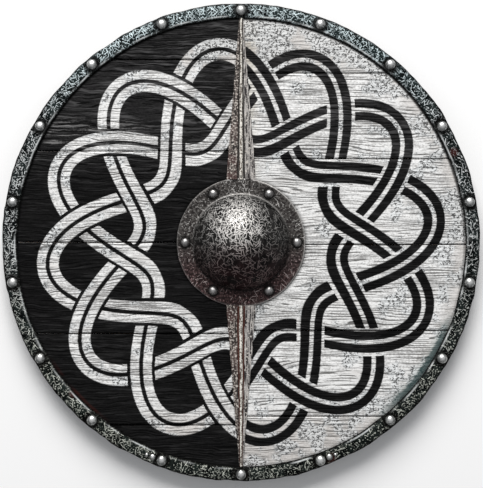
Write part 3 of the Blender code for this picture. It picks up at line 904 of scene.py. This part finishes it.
# %% Three steels
rim_finish = steel(
    "rim_steel_hammered", rgb(0.0015, 0.0025, 0.0025), rgb(0.016, 0.022, 0.022), rgb(0.90, 0.93, 0.93),
    top_tint=rgb(0.86, 0.97, 1.0), low_tint_and_shade=rgb(0.90, 0.90, 0.80), fineness=1.6, patchy=0.20,
    least=0.95, specks=0.55, relief=0.0006, roughness=0.45, metallic=0.15, specular=0.04,
)
boss_finish = steel(
    "boss_steel_scratched", rgb(0.003, 0.0028, 0.0027), rgb(0.024, 0.023, 0.022), rgb(0.85, 0.83, 0.80),
    top_tint=rgb(1.0), low_tint_and_shade=rgb(0.85, 0.78, 0.76), fineness=1.35, patchy=0.4,
    least=0.36, specks=0.0, relief=0.0006, roughness=0.52, metallic=0.5, specular=0.22,
)
rivet_finish = steel(
    "rivet_steel_polished", rgb(0.12, 0.126, 0.123), rgb(0.30, 0.308, 0.302), rgb(0.92, 0.92, 0.91),
    top_tint=rgb(1.0), low_tint_and_shade=rgb(0.98, 0.98, 0.96), fineness=1.6, patchy=0.3,
    least=0.6, specks=0.0, relief=0.0002, roughness=0.34, metallic=0.85, specular=0.6,
)
print("three steels, each of", len(rim_finish.node_tree.nodes), "nodes")

# %% [markdown]
# ## Rim
# The rim is sheet steel folded over the edge of the board in three strips, so it is a
# channel that is open towards the middle. Its front is slightly crowned and carries
# hammer marks, its inner lip is rolled, and its outline wavers. The strips meet at
# three laps, where one end stands a little proud of the next.

# %% The rim's section
RIM_OUTER = 0.3046
SHEET = 0.0012
RIM_CROWN = 0.0013
FRONT_STEPS = 10
FOLD_RADIUS = 0.3012
rivet_nodes = [f"rim_rivet_{number:02d}" for number in range(1, 19)]
rivet_spots = [middle(node) for node in rivet_nodes]
rivet_radius = (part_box(rivet_nodes[0])[1].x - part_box(rivet_nodes[0])[0].x) / 2
board_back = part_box("plank_left_3")[0].z
board_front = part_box("plank_left_3")[1].z


def rim_section(angle, lap_height):
    """One section of the rim as points (radius, height), outside first, then the fold inside."""
    spot = clock_point(angle, RIM_OUTER)
    slack = 0.0003 + 0.0016 * abs(math.sin(2 * math.radians(angle))) ** 0.7
    outer = RIM_OUTER + min(wear(spot, 0.030, 0.0015, 3.0) + wear(spot, 0.011, 0.0007, 8.0), slack)
    inner = RIM_INNER + wear(spot, 0.034, 0.0011, 21.0)
    top = board_front + SHEET + 0.0002 + lap_height
    bottom = board_back - SHEET
    front = []
    for share in shares(FRONT_STEPS):
        radius = inner + 0.0008 + share * (outer - 0.0019 - inner - 0.0008)
        arch = RIM_CROWN * math.sin(math.pi * min(1.0, 0.12 + 0.80 * share))
        front.append((radius, top - 0.0003 + arch - 0.0006 * share ** 3))
    last = front[-1][1]
    lip = [(inner, board_front + 0.0001), (inner - 0.0002, top - 0.0009), (inner + 0.0001, top - 0.0001)]
    corner = [(outer - 0.0009, last - 0.0005), (outer - 0.0002, last - 0.0011), (outer, last - 0.0019)]
    side = [(outer - 0.0006, (last + bottom) / 2), (outer - 0.0005, bottom + 0.0030)]
    side += [(outer - 0.0010, bottom + 0.0012), (outer - 0.0022, bottom + 0.0001)]
    under = [((inner + outer) / 2, bottom), (inner + 0.0004, bottom), (inner, bottom + 0.0006)]
    fold = [(inner, board_back - 0.0001), (FOLD_RADIUS, board_back - 0.0001)]
    fold += [(FOLD_RADIUS + 0.0006, board_back + 0.001), (FOLD_RADIUS + 0.0006, board_front - 0.001)]
    return lip + front + corner + side + under + fold + [(FOLD_RADIUS, board_front + 0.0001)]


# %% Rim strips
LAPS = (77.96, 177.96, 297.96)
STRIP_GAP_ANGLE = 0.10
SECTION_STEP = 0.30
LAP_SPREAD = 2.2
LAP_RISE = 0.0009
HAMMERED = range(2, 17)  # the points from the lip to the outer corner


def rim_strip(name, start, stop):
    """A strip between two clock angles, dented by the hammer."""
    rings = []
    for share in shares(int((stop - start) / SECTION_STEP)):
        angle = start + (stop - start) * share
        past_lap = (angle - start) / LAP_SPREAD
        lap_height = LAP_RISE * max(0.0, 1.0 - past_lap) ** 0.5
        ring = []
        for number, (radius, height) in enumerate(rim_section(angle, lap_height)):
            spot = clock_point(angle, radius, height)
            if number in HAMMERED:
                spot.z += wear(spot, 0.013, 0.00045, 1.0) + wear(spot, 0.0055, 0.00022, 2.0)
            ring.append(spot)
        rings.append(ring)
    return loft(name, rings)


# %% Marks on the rim
RUST_SPOTS = ((67.0, 0.294, 0.007), (157.5, 0.2985, 0.009), (228.0, 0.288, 0.006))
WORN_HIGHLIGHT_LINE = RIM_INNER + 0.0024


def near_rivet(place, spots, reach):
    """1 at the edge of the nearest rivet head, fading to 0 at reach beyond it."""
    nearest = min(math.hypot(place.x - spot.x, place.y - spot.y) for spot in spots)
    return clamp(1.0 - (nearest - rivet_radius) / reach)


def rim_grime(place):
    """Dirt and painted shade: dark rings round the rivets and dark lines along both edges."""
    radius = flat_radius(place)
    # Painted shade along the inner lip and the outer edge, and a painted contact shadow round each rivet.
    lip = clamp(1.6 - (radius - RIM_INNER) / 0.0013)
    edge = clamp(1.4 - (RIM_OUTER - radius) / 0.0021)
    return max(min(1.0, 1.5 * near_rivet(place, rivet_spots, 0.0066)), lip, edge)


def rim_shine(place):
    """A worn bright line just outside the inner lip, partly a painted highlight."""
    line = max(0.0, 1.0 - abs(flat_radius(place) - WORN_HIGHLIGHT_LINE) / 0.0013)
    return line * clamp(0.28 + wear(place, 0.020, 1.1, 31.0), high=0.8)


def rim_rust(place):
    """A few spots where rust has come through."""
    reached = [
        (place - clock_point(angle, radius, place.z)).length / size for angle, radius, size in RUST_SPOTS
    ]
    return max(0.0, 1.0 - min(reached) ** 2) * 0.8


def rim_polish(place):
    """The strips are rubbed brightest at the top, partly as a painted highlight."""
    return clamp((place.y - 0.18) / 0.10) * 0.35


def rim_scratched(place):
    """Scratches everywhere; their share is partly painted light: more at the top as a painted highlight,
    fewer to the right, low down and on the inner bevel at the upper left as painted shade.
    """
    bevel = clamp(1.0 - (flat_radius(place) - RIM_INNER - 0.0030) / 0.0020)
    bevel *= clamp(-place.x / 0.10) * clamp(place.y / 0.10)
    # More scratches at the top and fewer to the right and low down: partly painted highlight and painted
    # shade.
    sides = 0.12 * clamp((place.y - 0.15) / 0.10) - 0.05 * clamp(place.x / 0.20)
    return (0.22 + sides - 0.04 * clamp(-place.y / 0.20)) * (1.0 - 0.6 * bevel)


for number, start in enumerate(LAPS, start=1):
    stop = (LAPS[number % 3] - start) % 360 + start - STRIP_GAP_ANGLE
    strip = rim_strip(f"hammered_rim_{number}", start, stop)
    mark(strip, grime=rim_grime, rust=rim_rust, polish=rim_polish, shine=rim_shine, scratched=rim_scratched)
    strip.data.materials.append(rim_finish)
    join_frame(strip, "rim_steel", f"rim_strip_{number}")
    print(strip.name, triangles(strip), "triangles")

# %% [markdown]
# ## Boss
# The boss is one sheet beaten into a dome over the hand, with a flat flange that is
# riveted to the planks. It is hollow. A Screw modifier would turn it perfectly round,
# which beaten sheet never is. So one section goes out over the dome, down the neck,
# across the flange and back along the inside, and the loft repeats it round the axis
# with small dents that differ all the way round.

# %% The boss's section
boss_low, boss_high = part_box("boss")
FLANGE_RADIUS = (boss_high.x - boss_low.x) / 2
DOME_RADIUS = 0.060
NECK_RADIUS = 0.0632
BOSS_SHEET = 0.0015
NECK_TOP = boss_low.z + BOSS_SHEET + 0.006
CROWN = boss_high.z - 0.0003
DOME_STEPS = 30
FLANGE_STEPS = 10


def dome_arc(radius, base, crown):
    """Points from the crown down to the base of a round cap."""
    rise = crown - base
    ball = (radius * radius + rise * rise) / (2 * rise)
    widest = math.asin(min(1.0, radius / ball))
    angles = [widest * share for share in shares(DOME_STEPS)]
    return [(ball * math.sin(angle), crown - ball + ball * math.cos(angle)) for angle in angles]


def boss_section():
    """The boss from the crown outside to the crown inside, as (radius, height)."""
    low, flange = boss_low.z, boss_low.z + BOSS_SHEET
    outside = dome_arc(DOME_RADIUS, NECK_TOP, CROWN)
    neck = [(0.0602, flange + 0.0035), (0.0606, flange + 0.0018), (0.0616, flange + 0.0008)]
    neck += [(NECK_RADIUS, flange + 0.0004)]
    flat = shares(FLANGE_STEPS)[1:]
    top = [(NECK_RADIUS + 0.0172 * share, flange + 0.0003 - 0.0002 * share) for share in flat]
    edge = [(0.0814, flange - 0.0001), (FLANGE_RADIUS, flange - 0.0006), (FLANGE_RADIUS, low + 0.0002)]
    under = [(FLANGE_RADIUS - 0.0005, low), (0.0615, low), (0.0590, low + 0.0015)]
    inside = dome_arc(DOME_RADIUS - BOSS_SHEET, NECK_TOP - BOSS_SHEET, CROWN - BOSS_SHEET)[::-1]
    return outside + neck + top + edge + under + inside


# %% Boss
BOSS_TURNS = 180
FLANGE_FROM = 0.0635
FLANGE_TO = 0.0812


def beaten(spot, angle, radius):
    """A point of the boss with its dents: flange, outer edge and dome each have their own."""
    if FLANGE_FROM < radius < FLANGE_TO and spot.z > boss_low.z + 0.001:
        spot.z += wear(spot, 0.012, 0.00035, 4.0) + wear(spot, 0.005, 0.00018, 6.0)
    elif radius >= FLANGE_TO:
        spot += clock_point(angle, min(0.0, wear(clock_point(angle, BOSS_EDGE), 0.02, 0.0009, 5.0)))
    elif spot.z > NECK_TOP + 0.001:
        dent = wear(spot, 0.011, 0.00035, 9.0) + wear(spot, 0.028, 0.0004, 7.0)
        spot += Vector((spot.x, spot.y, (spot.z - NECK_TOP) * 0.8)).normalized() * (dent - 0.0004)
    return spot


section = boss_section()
rings = []
for number in range(BOSS_TURNS):
    angle = 360 * number / BOSS_TURNS
    rings.append([beaten(clock_point(angle, radius, height), angle, radius) for radius, height in section])
boss = loft("beaten_boss", rings, ring_closed=False, joined=True)
print("boss has", len(rings), "sections of", len(section), "points")

# %% Marks on the boss
DOME_EDGE = 0.0605
PLATE_EDGE = 0.0612
# Middle and spread of the painted highlight on the dome, which the polish mark follows.
POLISH_HIGHLIGHT_MIDDLE = Vector((-0.0055, 0.0250, 0))
POLISH_HIGHLIGHT_CORE = 0.006
POLISH_HIGHLIGHT_REACH = 0.047
boss_rivet_nodes = [f"boss_rivet_{number:02d}" for number in range(1, 7)]
boss_rivet_spots = [middle(node) for node in boss_rivet_nodes]


def boss_grime(place):
    """Dirt and painted shade round the rivets and at the foot of the dome, darker on the lower side."""
    foot = max(0.0, 1.0 - abs(flat_radius(place) - 0.0615) / 0.0035) if place.z < NECK_TOP else 0.0
    # Painted shade: the foot of the dome is darker on its lower side.
    below = 0.5 + 0.5 * clamp(-place.y / 0.05, low=-1.0)
    return max(near_rivet(place, boss_rivet_spots, 0.0026), foot * below * 0.9)


def boss_shine(place):
    """Painted highlights on the flange's edge, brighter towards the right, and on the crease above the
    dome, on its upper half only.
    """
    radius = flat_radius(place)
    edge = max(0.0, 1.0 - abs(radius - FLANGE_TO) / 0.0009) * clamp(0.5 + place.x / 0.08, low=0.25)
    crease = max(0.0, 1.0 - abs(radius - PLATE_EDGE) / 0.0010) * clamp(place.y / 0.05)
    return max(edge * 0.6, crease * 0.35)


def boss_polish(place):
    """Rubbed bright on the upper part of the dome, and hardly at all low down: partly wear, partly a
    painted highlight.
    """
    past = (Vector((place.x, place.y, 0)) - POLISH_HIGHLIGHT_MIDDLE).length - POLISH_HIGHLIGHT_CORE
    share = clamp(1.0 - past / (POLISH_HIGHLIGHT_REACH - POLISH_HIGHLIGHT_CORE))
    return 0.0 if flat_radius(place) > DOME_EDGE else share * share * (3 - 2 * share) * 0.85


def boss_scratched(place):
    """Thick with scratches where it is rubbed and painted as a highlight, thin on the flange."""
    return 0.12 if boss_flat(place) else 0.30 + 0.52 * boss_polish(place)


def boss_stain_and_shade(place):
    """A dark red-brown patina on the lower half, partly painted shade."""
    return clamp((0.002 - place.y) / 0.042) * (0.45 if flat_radius(place) > DOME_EDGE else 0.95)


def boss_flat(place):
    """1 on the flange and 0 on the dome."""
    return float(flat_radius(place) > PLATE_EDGE)


mark(boss, grime=boss_grime, shine=boss_shine, polish=boss_polish, stain=boss_stain_and_shade)
mark(boss, scratched=boss_scratched, flat=boss_flat)
boss.data.materials.append(boss_finish)
join_frame(boss, "boss_steel", "boss")
print("boss", triangles(boss), "triangles")

# %% [markdown]
# ## Rivets and nails
# The rim has eighteen rivets and the boss six, all hammered into low domes, and two
# pairs of nails hold the rim near the bottom. Copies placed by hand would all look the
# same. One tree sets a head and a tail on each point of a point cloud, turns and tips
# each head by chance with a fixed seed, and makes the result real. A head is a ball
# squashed to a dome, and flat below. Marks on each head say where it is dirty and in
# painted shade, and where it is rubbed bright with a painted highlight.

# %% The rivet tree
rivet_tree, entry, end = new_group(
    "rivets_on_points", GEOMETRY,
    {
        "Geometry": SHAPE, "Head radius": 0.007, "Head height": 0.005, "Tail radius": 0.005,
        "Tail height": 0.0022, "Length": 0.0172, "Tilt": 0.05, "Seed": 3, "Finish": MATERIAL,
    },
    "Geometry",
)
BALL = {"Segments": 20, "Rings": 10, "Radius": 1.0}
SMALLEST_HEAD = (0.97, 0.97, 0.94)
LARGEST_HEAD = (1.0, 1.0, 1.0)


def dome(radius, height, sign):
    """A ball flattened below its middle; sign turns it up or down."""
    x, y, z = parts_of(made(rivet_tree, "GeometryNodeInputPosition"))
    spot = xyz(x * radius, y * radius, largest(z * sign, 0.0) * height * sign)
    ball = made(rivet_tree, "GeometryNodeMeshUVSphere", BALL)
    return made(rivet_tree, "GeometryNodeSetPosition", {"Geometry": ball, "Position": spot})


def random_vector(low, high, seed):
    """A different vector for each point."""
    node = add(rivet_tree, "FunctionNodeRandomValue", data_type="FLOAT_VECTOR")
    enabled = {socket.name: socket for socket in node.inputs if socket.enabled}
    for name, value in {"Min": low, "Max": high, "Seed": seed}.items():
        feed(enabled[name], value)
    return next(Wire(socket) for socket in node.outputs if socket.enabled)


tilt = entry["Tilt"]
leaning = random_vector(xyz(tilt * -1.0, tilt * -1.0, 0.0), xyz(tilt, tilt, 6.0), entry["Seed"])
heads = made(rivet_tree, "GeometryNodeInstanceOnPoints", {
    "Points": entry["Geometry"], "Rotation": leaning,
    "Scale": random_vector(SMALLEST_HEAD, LARGEST_HEAD, entry["Seed"]),
    "Instance": dome(entry["Head radius"], entry["Head height"], 1.0),
})
lowered = made(rivet_tree, "GeometryNodeSetPosition", {
    "Geometry": entry["Geometry"], "Offset": xyz(0.0, 0.0, entry["Length"] * -1.0),
})
tails = made(rivet_tree, "GeometryNodeInstanceOnPoints", {
    "Points": lowered, "Instance": dome(entry["Tail radius"], entry["Tail height"], -1.0),
})
both = add(rivet_tree, "GeometryNodeJoinGeometry")
feed(both.inputs[0], heads)
feed(both.inputs[0], tails)
smooth = made(rivet_tree, "GeometryNodeSetShadeSmooth", {"Geometry": Wire(both.outputs[0])})
real = made(rivet_tree, "GeometryNodeRealizeInstances", {"Geometry": smooth})
coated = made(rivet_tree, "GeometryNodeSetMaterial", {"Geometry": real, "Material": entry["Finish"]})
give(end, Geometry=coated)
print("rivet tree has", len(rivet_tree.nodes), "nodes")

# %% Marks on a head
TAIL_GRIME = 0.45
RIVET_SCRATCHES = 0.35
BOSS_RIVET_RUST = 0.3


def nearest_of(place, spots):
    """The rivet that a point belongs to."""
    return min(spots, key=lambda spot: math.hypot(place.x - spot.x, place.y - spot.y))


def head_grime(place, spot, radius, height, rubbed):
    """Painted shade and dirt round the foot of a head, reaching higher on its lower side; tails are dirty
    all over.
    """
    if place.z < spot.z - 0.0005:
        return TAIL_GRIME
    # Painted shade climbs higher on the lower side of a head.
    low_side = max(0.0, (spot.y - place.y) / radius)
    reach_up = height * (0.90 - 0.62 * rubbed + 0.58 * low_side ** 1.3)
    return 0.95 * max(0.0, 1.0 - (place.z - spot.z) / reach_up)


def head_shine(place, spot, radius, rubbed):
    """Rubbed bright round the crown of a head, a little above its middle, as a painted highlight."""
    off_crown = math.hypot(place.x - spot.x, place.y - spot.y - 0.15 * radius) / radius
    return rubbed * clamp(1.7 - 2.6 * off_crown) if place.z > spot.z else 0.0


def head_rust(place):
    """The rivets of the boss are a little rusty."""
    return BOSS_RIVET_RUST if flat_radius(place) < BOSS_EDGE else 0.0


# %% Set the rivets
RIVET_HEAD, RIVET_TAIL = 0.0050, 0.0022
NAIL_HEAD, NAIL_TAIL = 0.0028, 0.0010


def point_cloud(name, spots):
    """A mesh of loose points."""
    mesh = bpy.data.meshes.new(name)
    mesh.from_pydata([tuple(spot) for spot in spots], [], [])
    return mesh


def rivet_set(name, nodes, head_height, tail_height, tilt, seed, rubbed, tail_radius=0.005):
    """Rivets in the places of these solids, as one piece."""
    lowest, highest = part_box(nodes[0])
    seat = highest.z - head_height
    radius = (highest.x - lowest.x) / 2
    spots = [Vector((middle(node).x, middle(node).y, seat)) for node in nodes]
    settings = {
        "Head radius": radius, "Head height": head_height, "Tail radius": tail_radius,
        "Tail height": tail_height, "Length": seat - lowest.z - tail_height, "Tilt": tilt, "Seed": seed,
        "Finish": rivet_finish,
    }
    piece = grown(name, rivet_tree, settings, point_cloud(name, spots))
    mark(
        piece,
        grime=lambda place: head_grime(place, nearest_of(place, spots), radius, head_height, rubbed),
        shine=lambda place: head_shine(place, nearest_of(place, spots), radius, rubbed),
        rust=head_rust,
        scratched=lambda place: RIVET_SCRATCHES,
    )
    print(name, len(nodes), "heads,", triangles(piece), "triangles")
    return join_frame(piece, "rivet_steel", *nodes)


# The last number is how rubbed each head is: it sets the painted highlight and how high the painted shade
# reaches.
rivet_set("rim_rivet_heads", rivet_nodes, RIVET_HEAD, RIVET_TAIL, 0.06, 3, 0.85)
rivet_set("boss_rivet_heads", boss_rivet_nodes, RIVET_HEAD, RIVET_TAIL, 0.09, 5, 0.30)
rim_nails = [f"rim_nail_{number}" for number in range(1, 5)]
rim_nails.sort(key=lambda node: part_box(node)[1].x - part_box(node)[0].x)
rivet_set("small_rim_nail_heads", rim_nails[:2], NAIL_HEAD, NAIL_TAIL, 0.06, 7, 0.95, tail_radius=0.0012)
rivet_set("large_rim_nail_heads", rim_nails[2:], NAIL_HEAD, NAIL_TAIL, 0.06, 9, 0.95, tail_radius=0.0012)

# %% [markdown]
# ## Spines
# A tapered strip covers the joint of the two halves above and below the boss. It has
# rough, dark wings that fall to the sides, and between two grooves a pale, narrow ridge
# that is all that is left of it near the rim. A bevelled curve could taper as well, but
# its section would keep one shape. In a loft each width and height shrinks by itself.

# %% Spine finish
WARM_WOOD = rgb(0.22, 0.19, 0.17)
DARK_WOOD = rgb(0.022, 0.018, 0.016)
RED_PATCH = rgb(0.070, 0.036, 0.033)
GREY_STREAK = (rgb(0.030, 0.027, 0.028), rgb(0.46, 0.44, 0.42))
PALE_SPECK = rgb(0.60, 0.56, 0.51)
GROOVE_PIT = (rgb(0.030, 0.026, 0.024), rgb(0.075, 0.022, 0.014))
RIDGE_BONE = (rgb(0.10, 0.075, 0.06), rgb(0.80, 0.77, 0.70))


def spine_wood(name):
    """Rough stained wood, pale where the mesh is marked as ridge, red-brown in the grooves."""
    material, tree, shader, place = finish(name, 0.7, specular=0.3)
    x, y, z = parts_of(place)
    speckle = cloud(place, scale=430.0, detail=1.0)
    streak = streaks(x, y, z, 620.0, 45.0)
    slow = cloud(place, scale=45.0, detail=3.0)
    colour = blend(ramp(speckle * 0.6 + streak * 0.4, 0.45, 0.54), DARK_WOOD, WARM_WOOD)
    near_boss = ramp(abs(y), 0.19, 0.11)
    colour = blend(near_boss * ramp(slow, 0.40, 0.60) * 0.75, colour, RED_PATCH)
    colour = blend(ramp(x, -0.001, 0.001) * 0.85, colour, blend(ramp(streak, 0.45, 0.53), *GREY_STREAK))
    colour = blend(ramp(speckle, 0.58, 0.66, 0.0, 0.8), colour, PALE_SPECK)
    colour = blend(attribute(tree, "groove"), colour, blend(ramp(y, 0.02, -0.02), *GROOVE_PIT))
    bone = blend(ramp(streak * 0.5 + speckle * 0.5, 0.42, 0.54), *RIDGE_BONE)
    feed(shader.inputs["Base Color"], blend(attribute(tree, "ridge"), colour, bone))
    bump(shader, speckle + streak, 0.0010, 0.8)
    return material


spine_finish = spine_wood("spine_wood_stained")
print(spine_finish.name, "has", len(spine_finish.node_tree.nodes), "nodes")

# %% Spine section
SPINE_WIDTH = (0.0375, 0.0050)
GROOVES_WIDTH = (0.0112, 0.0042)
RIDGE_WIDTH = (0.0050, 0.0027)
WING_RISE = (0.0034, 0.0021)
RIDGE_RISE = (0.0062, 0.0038)
TAPERS = (SPINE_WIDTH, GROOVES_WIDTH, RIDGE_WIDTH, WING_RISE, RIDGE_RISE)
WING_STEPS = 7


def spine_section(share, spot_y):
    """The section at a share of the way from boss to rim: (x, height, ridge, groove)."""
    wide, grooves, ridge, wing, crest = [at_boss + (at_rim - at_boss) * share for at_boss, at_rim in TAPERS]
    edge = wide / 2 + wear((0, spot_y, 0), 0.009, 0.0007, 31.0) * (1 - share)
    edge = max(edge, grooves / 2 + 0.0003)
    side = [(edge, 0.0, 0.0, 0.0)]
    for along in shares(WING_STEPS):
        side.append((edge + (grooves / 2 - edge) * along, wing * (0.35 + 0.65 * along ** 0.8), 0.0, 0.0))
    side += [
        (grooves / 2 * 0.90, 0.0016, 0.0, 0.8),
        ((grooves + ridge) / 4, 0.0010, 0.0, 1.0),
        (ridge / 2 * 1.02, 0.0014, 0.0, 0.9),
        (ridge / 2 * 0.86, crest * 0.66, 1.0, 0.0),
        (ridge / 2 * 0.45, crest * 0.93, 1.0, 0.0),
    ]
    return side + [(0.0, crest, 1.0, 0.0)] + [(-x, *rest) for x, *rest in reversed(side)]


# %% Spines
SPINE_STEPS = 170
SWAYING_HALF_WIDTH = 0.008
RIDGE_START = 0.02
RIDGE_DROP = 0.0022


def rounded(place):
    """A point as three rounded numbers, to find its marks by."""
    return tuple(round(side, 7) for side in place)


def spine(name, node, seed):
    """One spine in the place of its solid."""
    lowest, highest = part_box(node)
    near, far = (lowest.y, highest.y) if highest.y > 0 else (highest.y, lowest.y)
    rings, ridges, grooves = [], {}, {}
    for share in shares(SPINE_STEPS):
        spot_y = near + (far - near) * share
        sway = wear((0, spot_y, 0), 0.030, 0.0007, seed) + wear((0, spot_y, 0), 0.008, 0.0003, seed + 2)
        ring = []
        for x, height, ridge, groove in spine_section(share, spot_y):
            spot = Vector((x, spot_y, lowest.z + height))
            if height > 0:
                spot.z += wear(spot, 0.0045, 0.00035, seed) + wear(spot, 0.012, 0.0003, seed + 5)
                spot.z = min(spot.z, highest.z)
            if abs(x) < SWAYING_HALF_WIDTH:
                spot.x += sway * (1 - 0.4 * share)
            if share < RIDGE_START and ridge:
                spot.z -= RIDGE_DROP
            ridges[rounded(spot)] = ridge
            grooves[rounded(spot)] = groove
            ring.append(spot)
        rings.append(ring)
    piece = loft(name, rings)
    mark(piece, ridge=lambda place: ridges.get(rounded(place), 0.0))
    mark(piece, groove=lambda place: grooves.get(rounded(place), 0.0))
    piece.data.materials.append(spine_finish)
    print(name, triangles(piece), "triangles")
    return join_frame(piece, "spine_wood", node)


spine("ridged_spine_upper", "spine_upper", 11.0)
spine("ridged_spine_lower", "spine_lower", 17.0)

# %% [markdown]
# ## The back
# Behind, a grip bar crosses the hand hole between two battens. Their edges are rounded
# by hand and by the tool, and each plank is nailed to them from behind. A cube with a
# Bevel modifier would be even from end to end, so the bars are lofts too, which lets
# the grip widen in the hand. The nails come from the rivet tree again.

# %% Bars
BAR_STEPS = 90
BAR_EDGE = 0.0035
EDGE_STEPS = 4
GRIP_HALF_WIDTH = 0.016
GRIP_TAPER = 0.005
GRIP_HALF_LENGTH = 0.060
GRIP_END = 0.2818
BATTEN_HALF_WIDTH = 0.017


def bar_outline(half, top, bottom, soft):
    """The section of a bar as (x, height), square in front and rounded at the two back edges."""
    outline = [(-half, top), (half, top)]
    for sign in (1, -1):
        for share in shares(EDGE_STEPS)[::sign]:
            turned = math.radians(90 * share)
            x = sign * (half - soft) + sign * soft * math.cos(turned)
            outline.append((x, bottom + soft - soft * math.sin(turned)))
    return outline


def bar(name, node, half_width_at):
    """An upright bar with rounded edges in the place of its solid."""
    lowest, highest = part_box(node)
    centre_x = (lowest.x + highest.x) / 2
    top, bottom = highest.z, lowest.z + 0.0004
    rings = []
    for share in shares(BAR_STEPS):
        spot_y = lowest.y + (highest.y - lowest.y) * share
        soft = BAR_EDGE * min(1.0, 30 * min(share, 1 - share) + 0.35)
        ring = []
        for x, height in bar_outline(half_width_at(spot_y) - 0.0002, top, bottom, soft):
            spot = Vector((centre_x + x, spot_y, height))
            if height < top - 0.0005:
                spot.x += wear(spot, 0.05, 0.0004, 41.0)
            ring.append(spot)
        rings.append(ring)
    piece = loft(name, rings)
    piece.data.materials.append(bar_wood)
    print(name, triangles(piece), "triangles")
    return join_frame(piece, "bare_wood", node)


def grip_half_width(spot_y):
    """The grip bar is widest where the hand holds it."""
    past = max(0.0, abs(spot_y) - GRIP_HALF_LENGTH) / (GRIP_END - GRIP_HALF_LENGTH)
    return GRIP_HALF_WIDTH - GRIP_TAPER * past


bar("smoothed_grip_bar", "grip_bar", grip_half_width)
for side in ("left", "right"):
    bar(f"smoothed_batten_{side}", f"batten_{side}", lambda spot_y: BATTEN_HALF_WIDTH)

# %% Nails in the bars
NAIL_COLUMNS = (-0.150, 0.0, 0.150)
NAIL_FROM_JOINT = 0.018
NAIL_STAGGER = 0.005
NAIL_SEAT = 0.0012
CLEAR_OF_HOLE = 0.066
LAST_GRIP_NAIL = 0.272
LAST_BATTEN_NAIL = 0.220
nail_spots = []
for x in NAIL_COLUMNS:
    last_nail = LAST_GRIP_NAIL if x == 0 else LAST_BATTEN_NAIL
    for number in range(1, PLANKS_A_SIDE + 1):
        lowest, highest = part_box(f"plank_{'left' if x < 0 else 'right'}_{number}")
        for spot_y in (lowest.y + NAIL_FROM_JOINT, highest.y - NAIL_FROM_JOINT):
            if abs(spot_y) < last_nail and math.hypot(x, spot_y) > CLEAR_OF_HOLE:
                nail_spots.append((x + NAIL_STAGGER * (-1) ** len(nail_spots), spot_y, NAIL_SEAT))
settings = {
    "Head radius": 0.0012, "Head height": 0.0004, "Tail radius": 0.0036, "Tail height": 0.0011,
    "Length": 0.0, "Tilt": 0.0, "Seed": 2, "Finish": rivet_finish,
}
bar_nails = grown("bar_nail_heads", rivet_tree, settings, point_cloud("bar_nail_heads", nail_spots))
mark(bar_nails, grime=lambda place: 0.6)
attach(bar_nails, "root")
print("bar nails", len(nail_spots), "heads")

# %% [markdown]
# ## Floor, light and camera
# The floor is plain and almost white. Several lamps would even the light out and hide
# the relief. So one large soft lamp stands beyond the top of the shield, where every
# ridge, rivet and joint is lit from above in the picture, and a weak even sky fills the
# shadows. The camera looks straight down through a long lens, so the boss, which is
# nearer to it than the rim, hardly looks larger than it is.

# %% Floor
FLOOR_HALF_SIDE = 12.0
corners = [(FLOOR_HALF_SIDE * x, FLOOR_HALF_SIDE * y, 0) for x, y in ((-1, -1), (1, -1), (1, 1), (-1, 1))]
floor_mesh = bpy.data.meshes.new("pale_floor")
floor_mesh.from_pydata(corners, [], [(0, 1, 2, 3)])
floor = shown("pale_floor", floor_mesh)
floor_finish, _, shader, _ = finish("pale_floor_finish", 0.9, specular=0.1)
shader.inputs["Base Color"].default_value = rgb(0.93)
floor_mesh.materials.append(floor_finish)
print("floor", 2 * FLOOR_HALF_SIDE, "m square")

# %% Lamp and sky
LAMP_PLACE = Vector((-0.35, 3.5, 2.75))
LAMP_AIM = Vector((0, 0, 0.03))
LAMP_SIDE = 2.8
LAMP_WATTS = 262.0
light = bpy.data.lights.new("key_lamp", "AREA")
light.shape = "SQUARE"
light.size = LAMP_SIDE
light.energy = LAMP_WATTS
light.color = (1.0, 0.99, 0.98)
lamp = bpy.data.objects.new("key_lamp", light)
lamp.location = LAMP_PLACE
lamp.rotation_euler = (LAMP_AIM - LAMP_PLACE).to_track_quat("-Z", "Y").to_euler()
bpy.context.scene.collection.objects.link(lamp)

world = bpy.data.worlds.new("soft_sky")
bpy.context.scene.world = world
world.use_nodes = True
sky = world.node_tree.nodes["Background"]
sky.inputs["Color"].default_value = rgb(0.96, 0.975, 1.0)
sky.inputs["Strength"].default_value = 0.36
print("lamp of", LAMP_WATTS, "W,", round((LAMP_AIM - LAMP_PLACE).length, 2), "m away")

# %% Camera
PICTURE_WIDTH = 483
METRES_PER_PIXEL = 0.0012735
LENS = 100.0
SENSOR = 36.0
SHARP_HEIGHT = 0.030
PICTURE_MIDDLE = (0.00055, -0.0021)
camera_data = bpy.data.cameras.new("camera")
camera_data.lens = LENS
camera_data.sensor_width = SENSOR
camera_data.sensor_fit = "HORIZONTAL"
camera_data.dof.use_dof = False
camera = bpy.data.objects.new("camera", camera_data)
distance = PICTURE_WIDTH * METRES_PER_PIXEL * LENS / SENSOR
camera.location = (*PICTURE_MIDDLE, SHARP_HEIGHT + distance)
bpy.context.scene.collection.objects.link(camera)
bpy.context.scene.camera = camera
bpy.context.scene.view_settings.view_transform = "Standard"
print("camera", round(distance, 4), "m above the face")
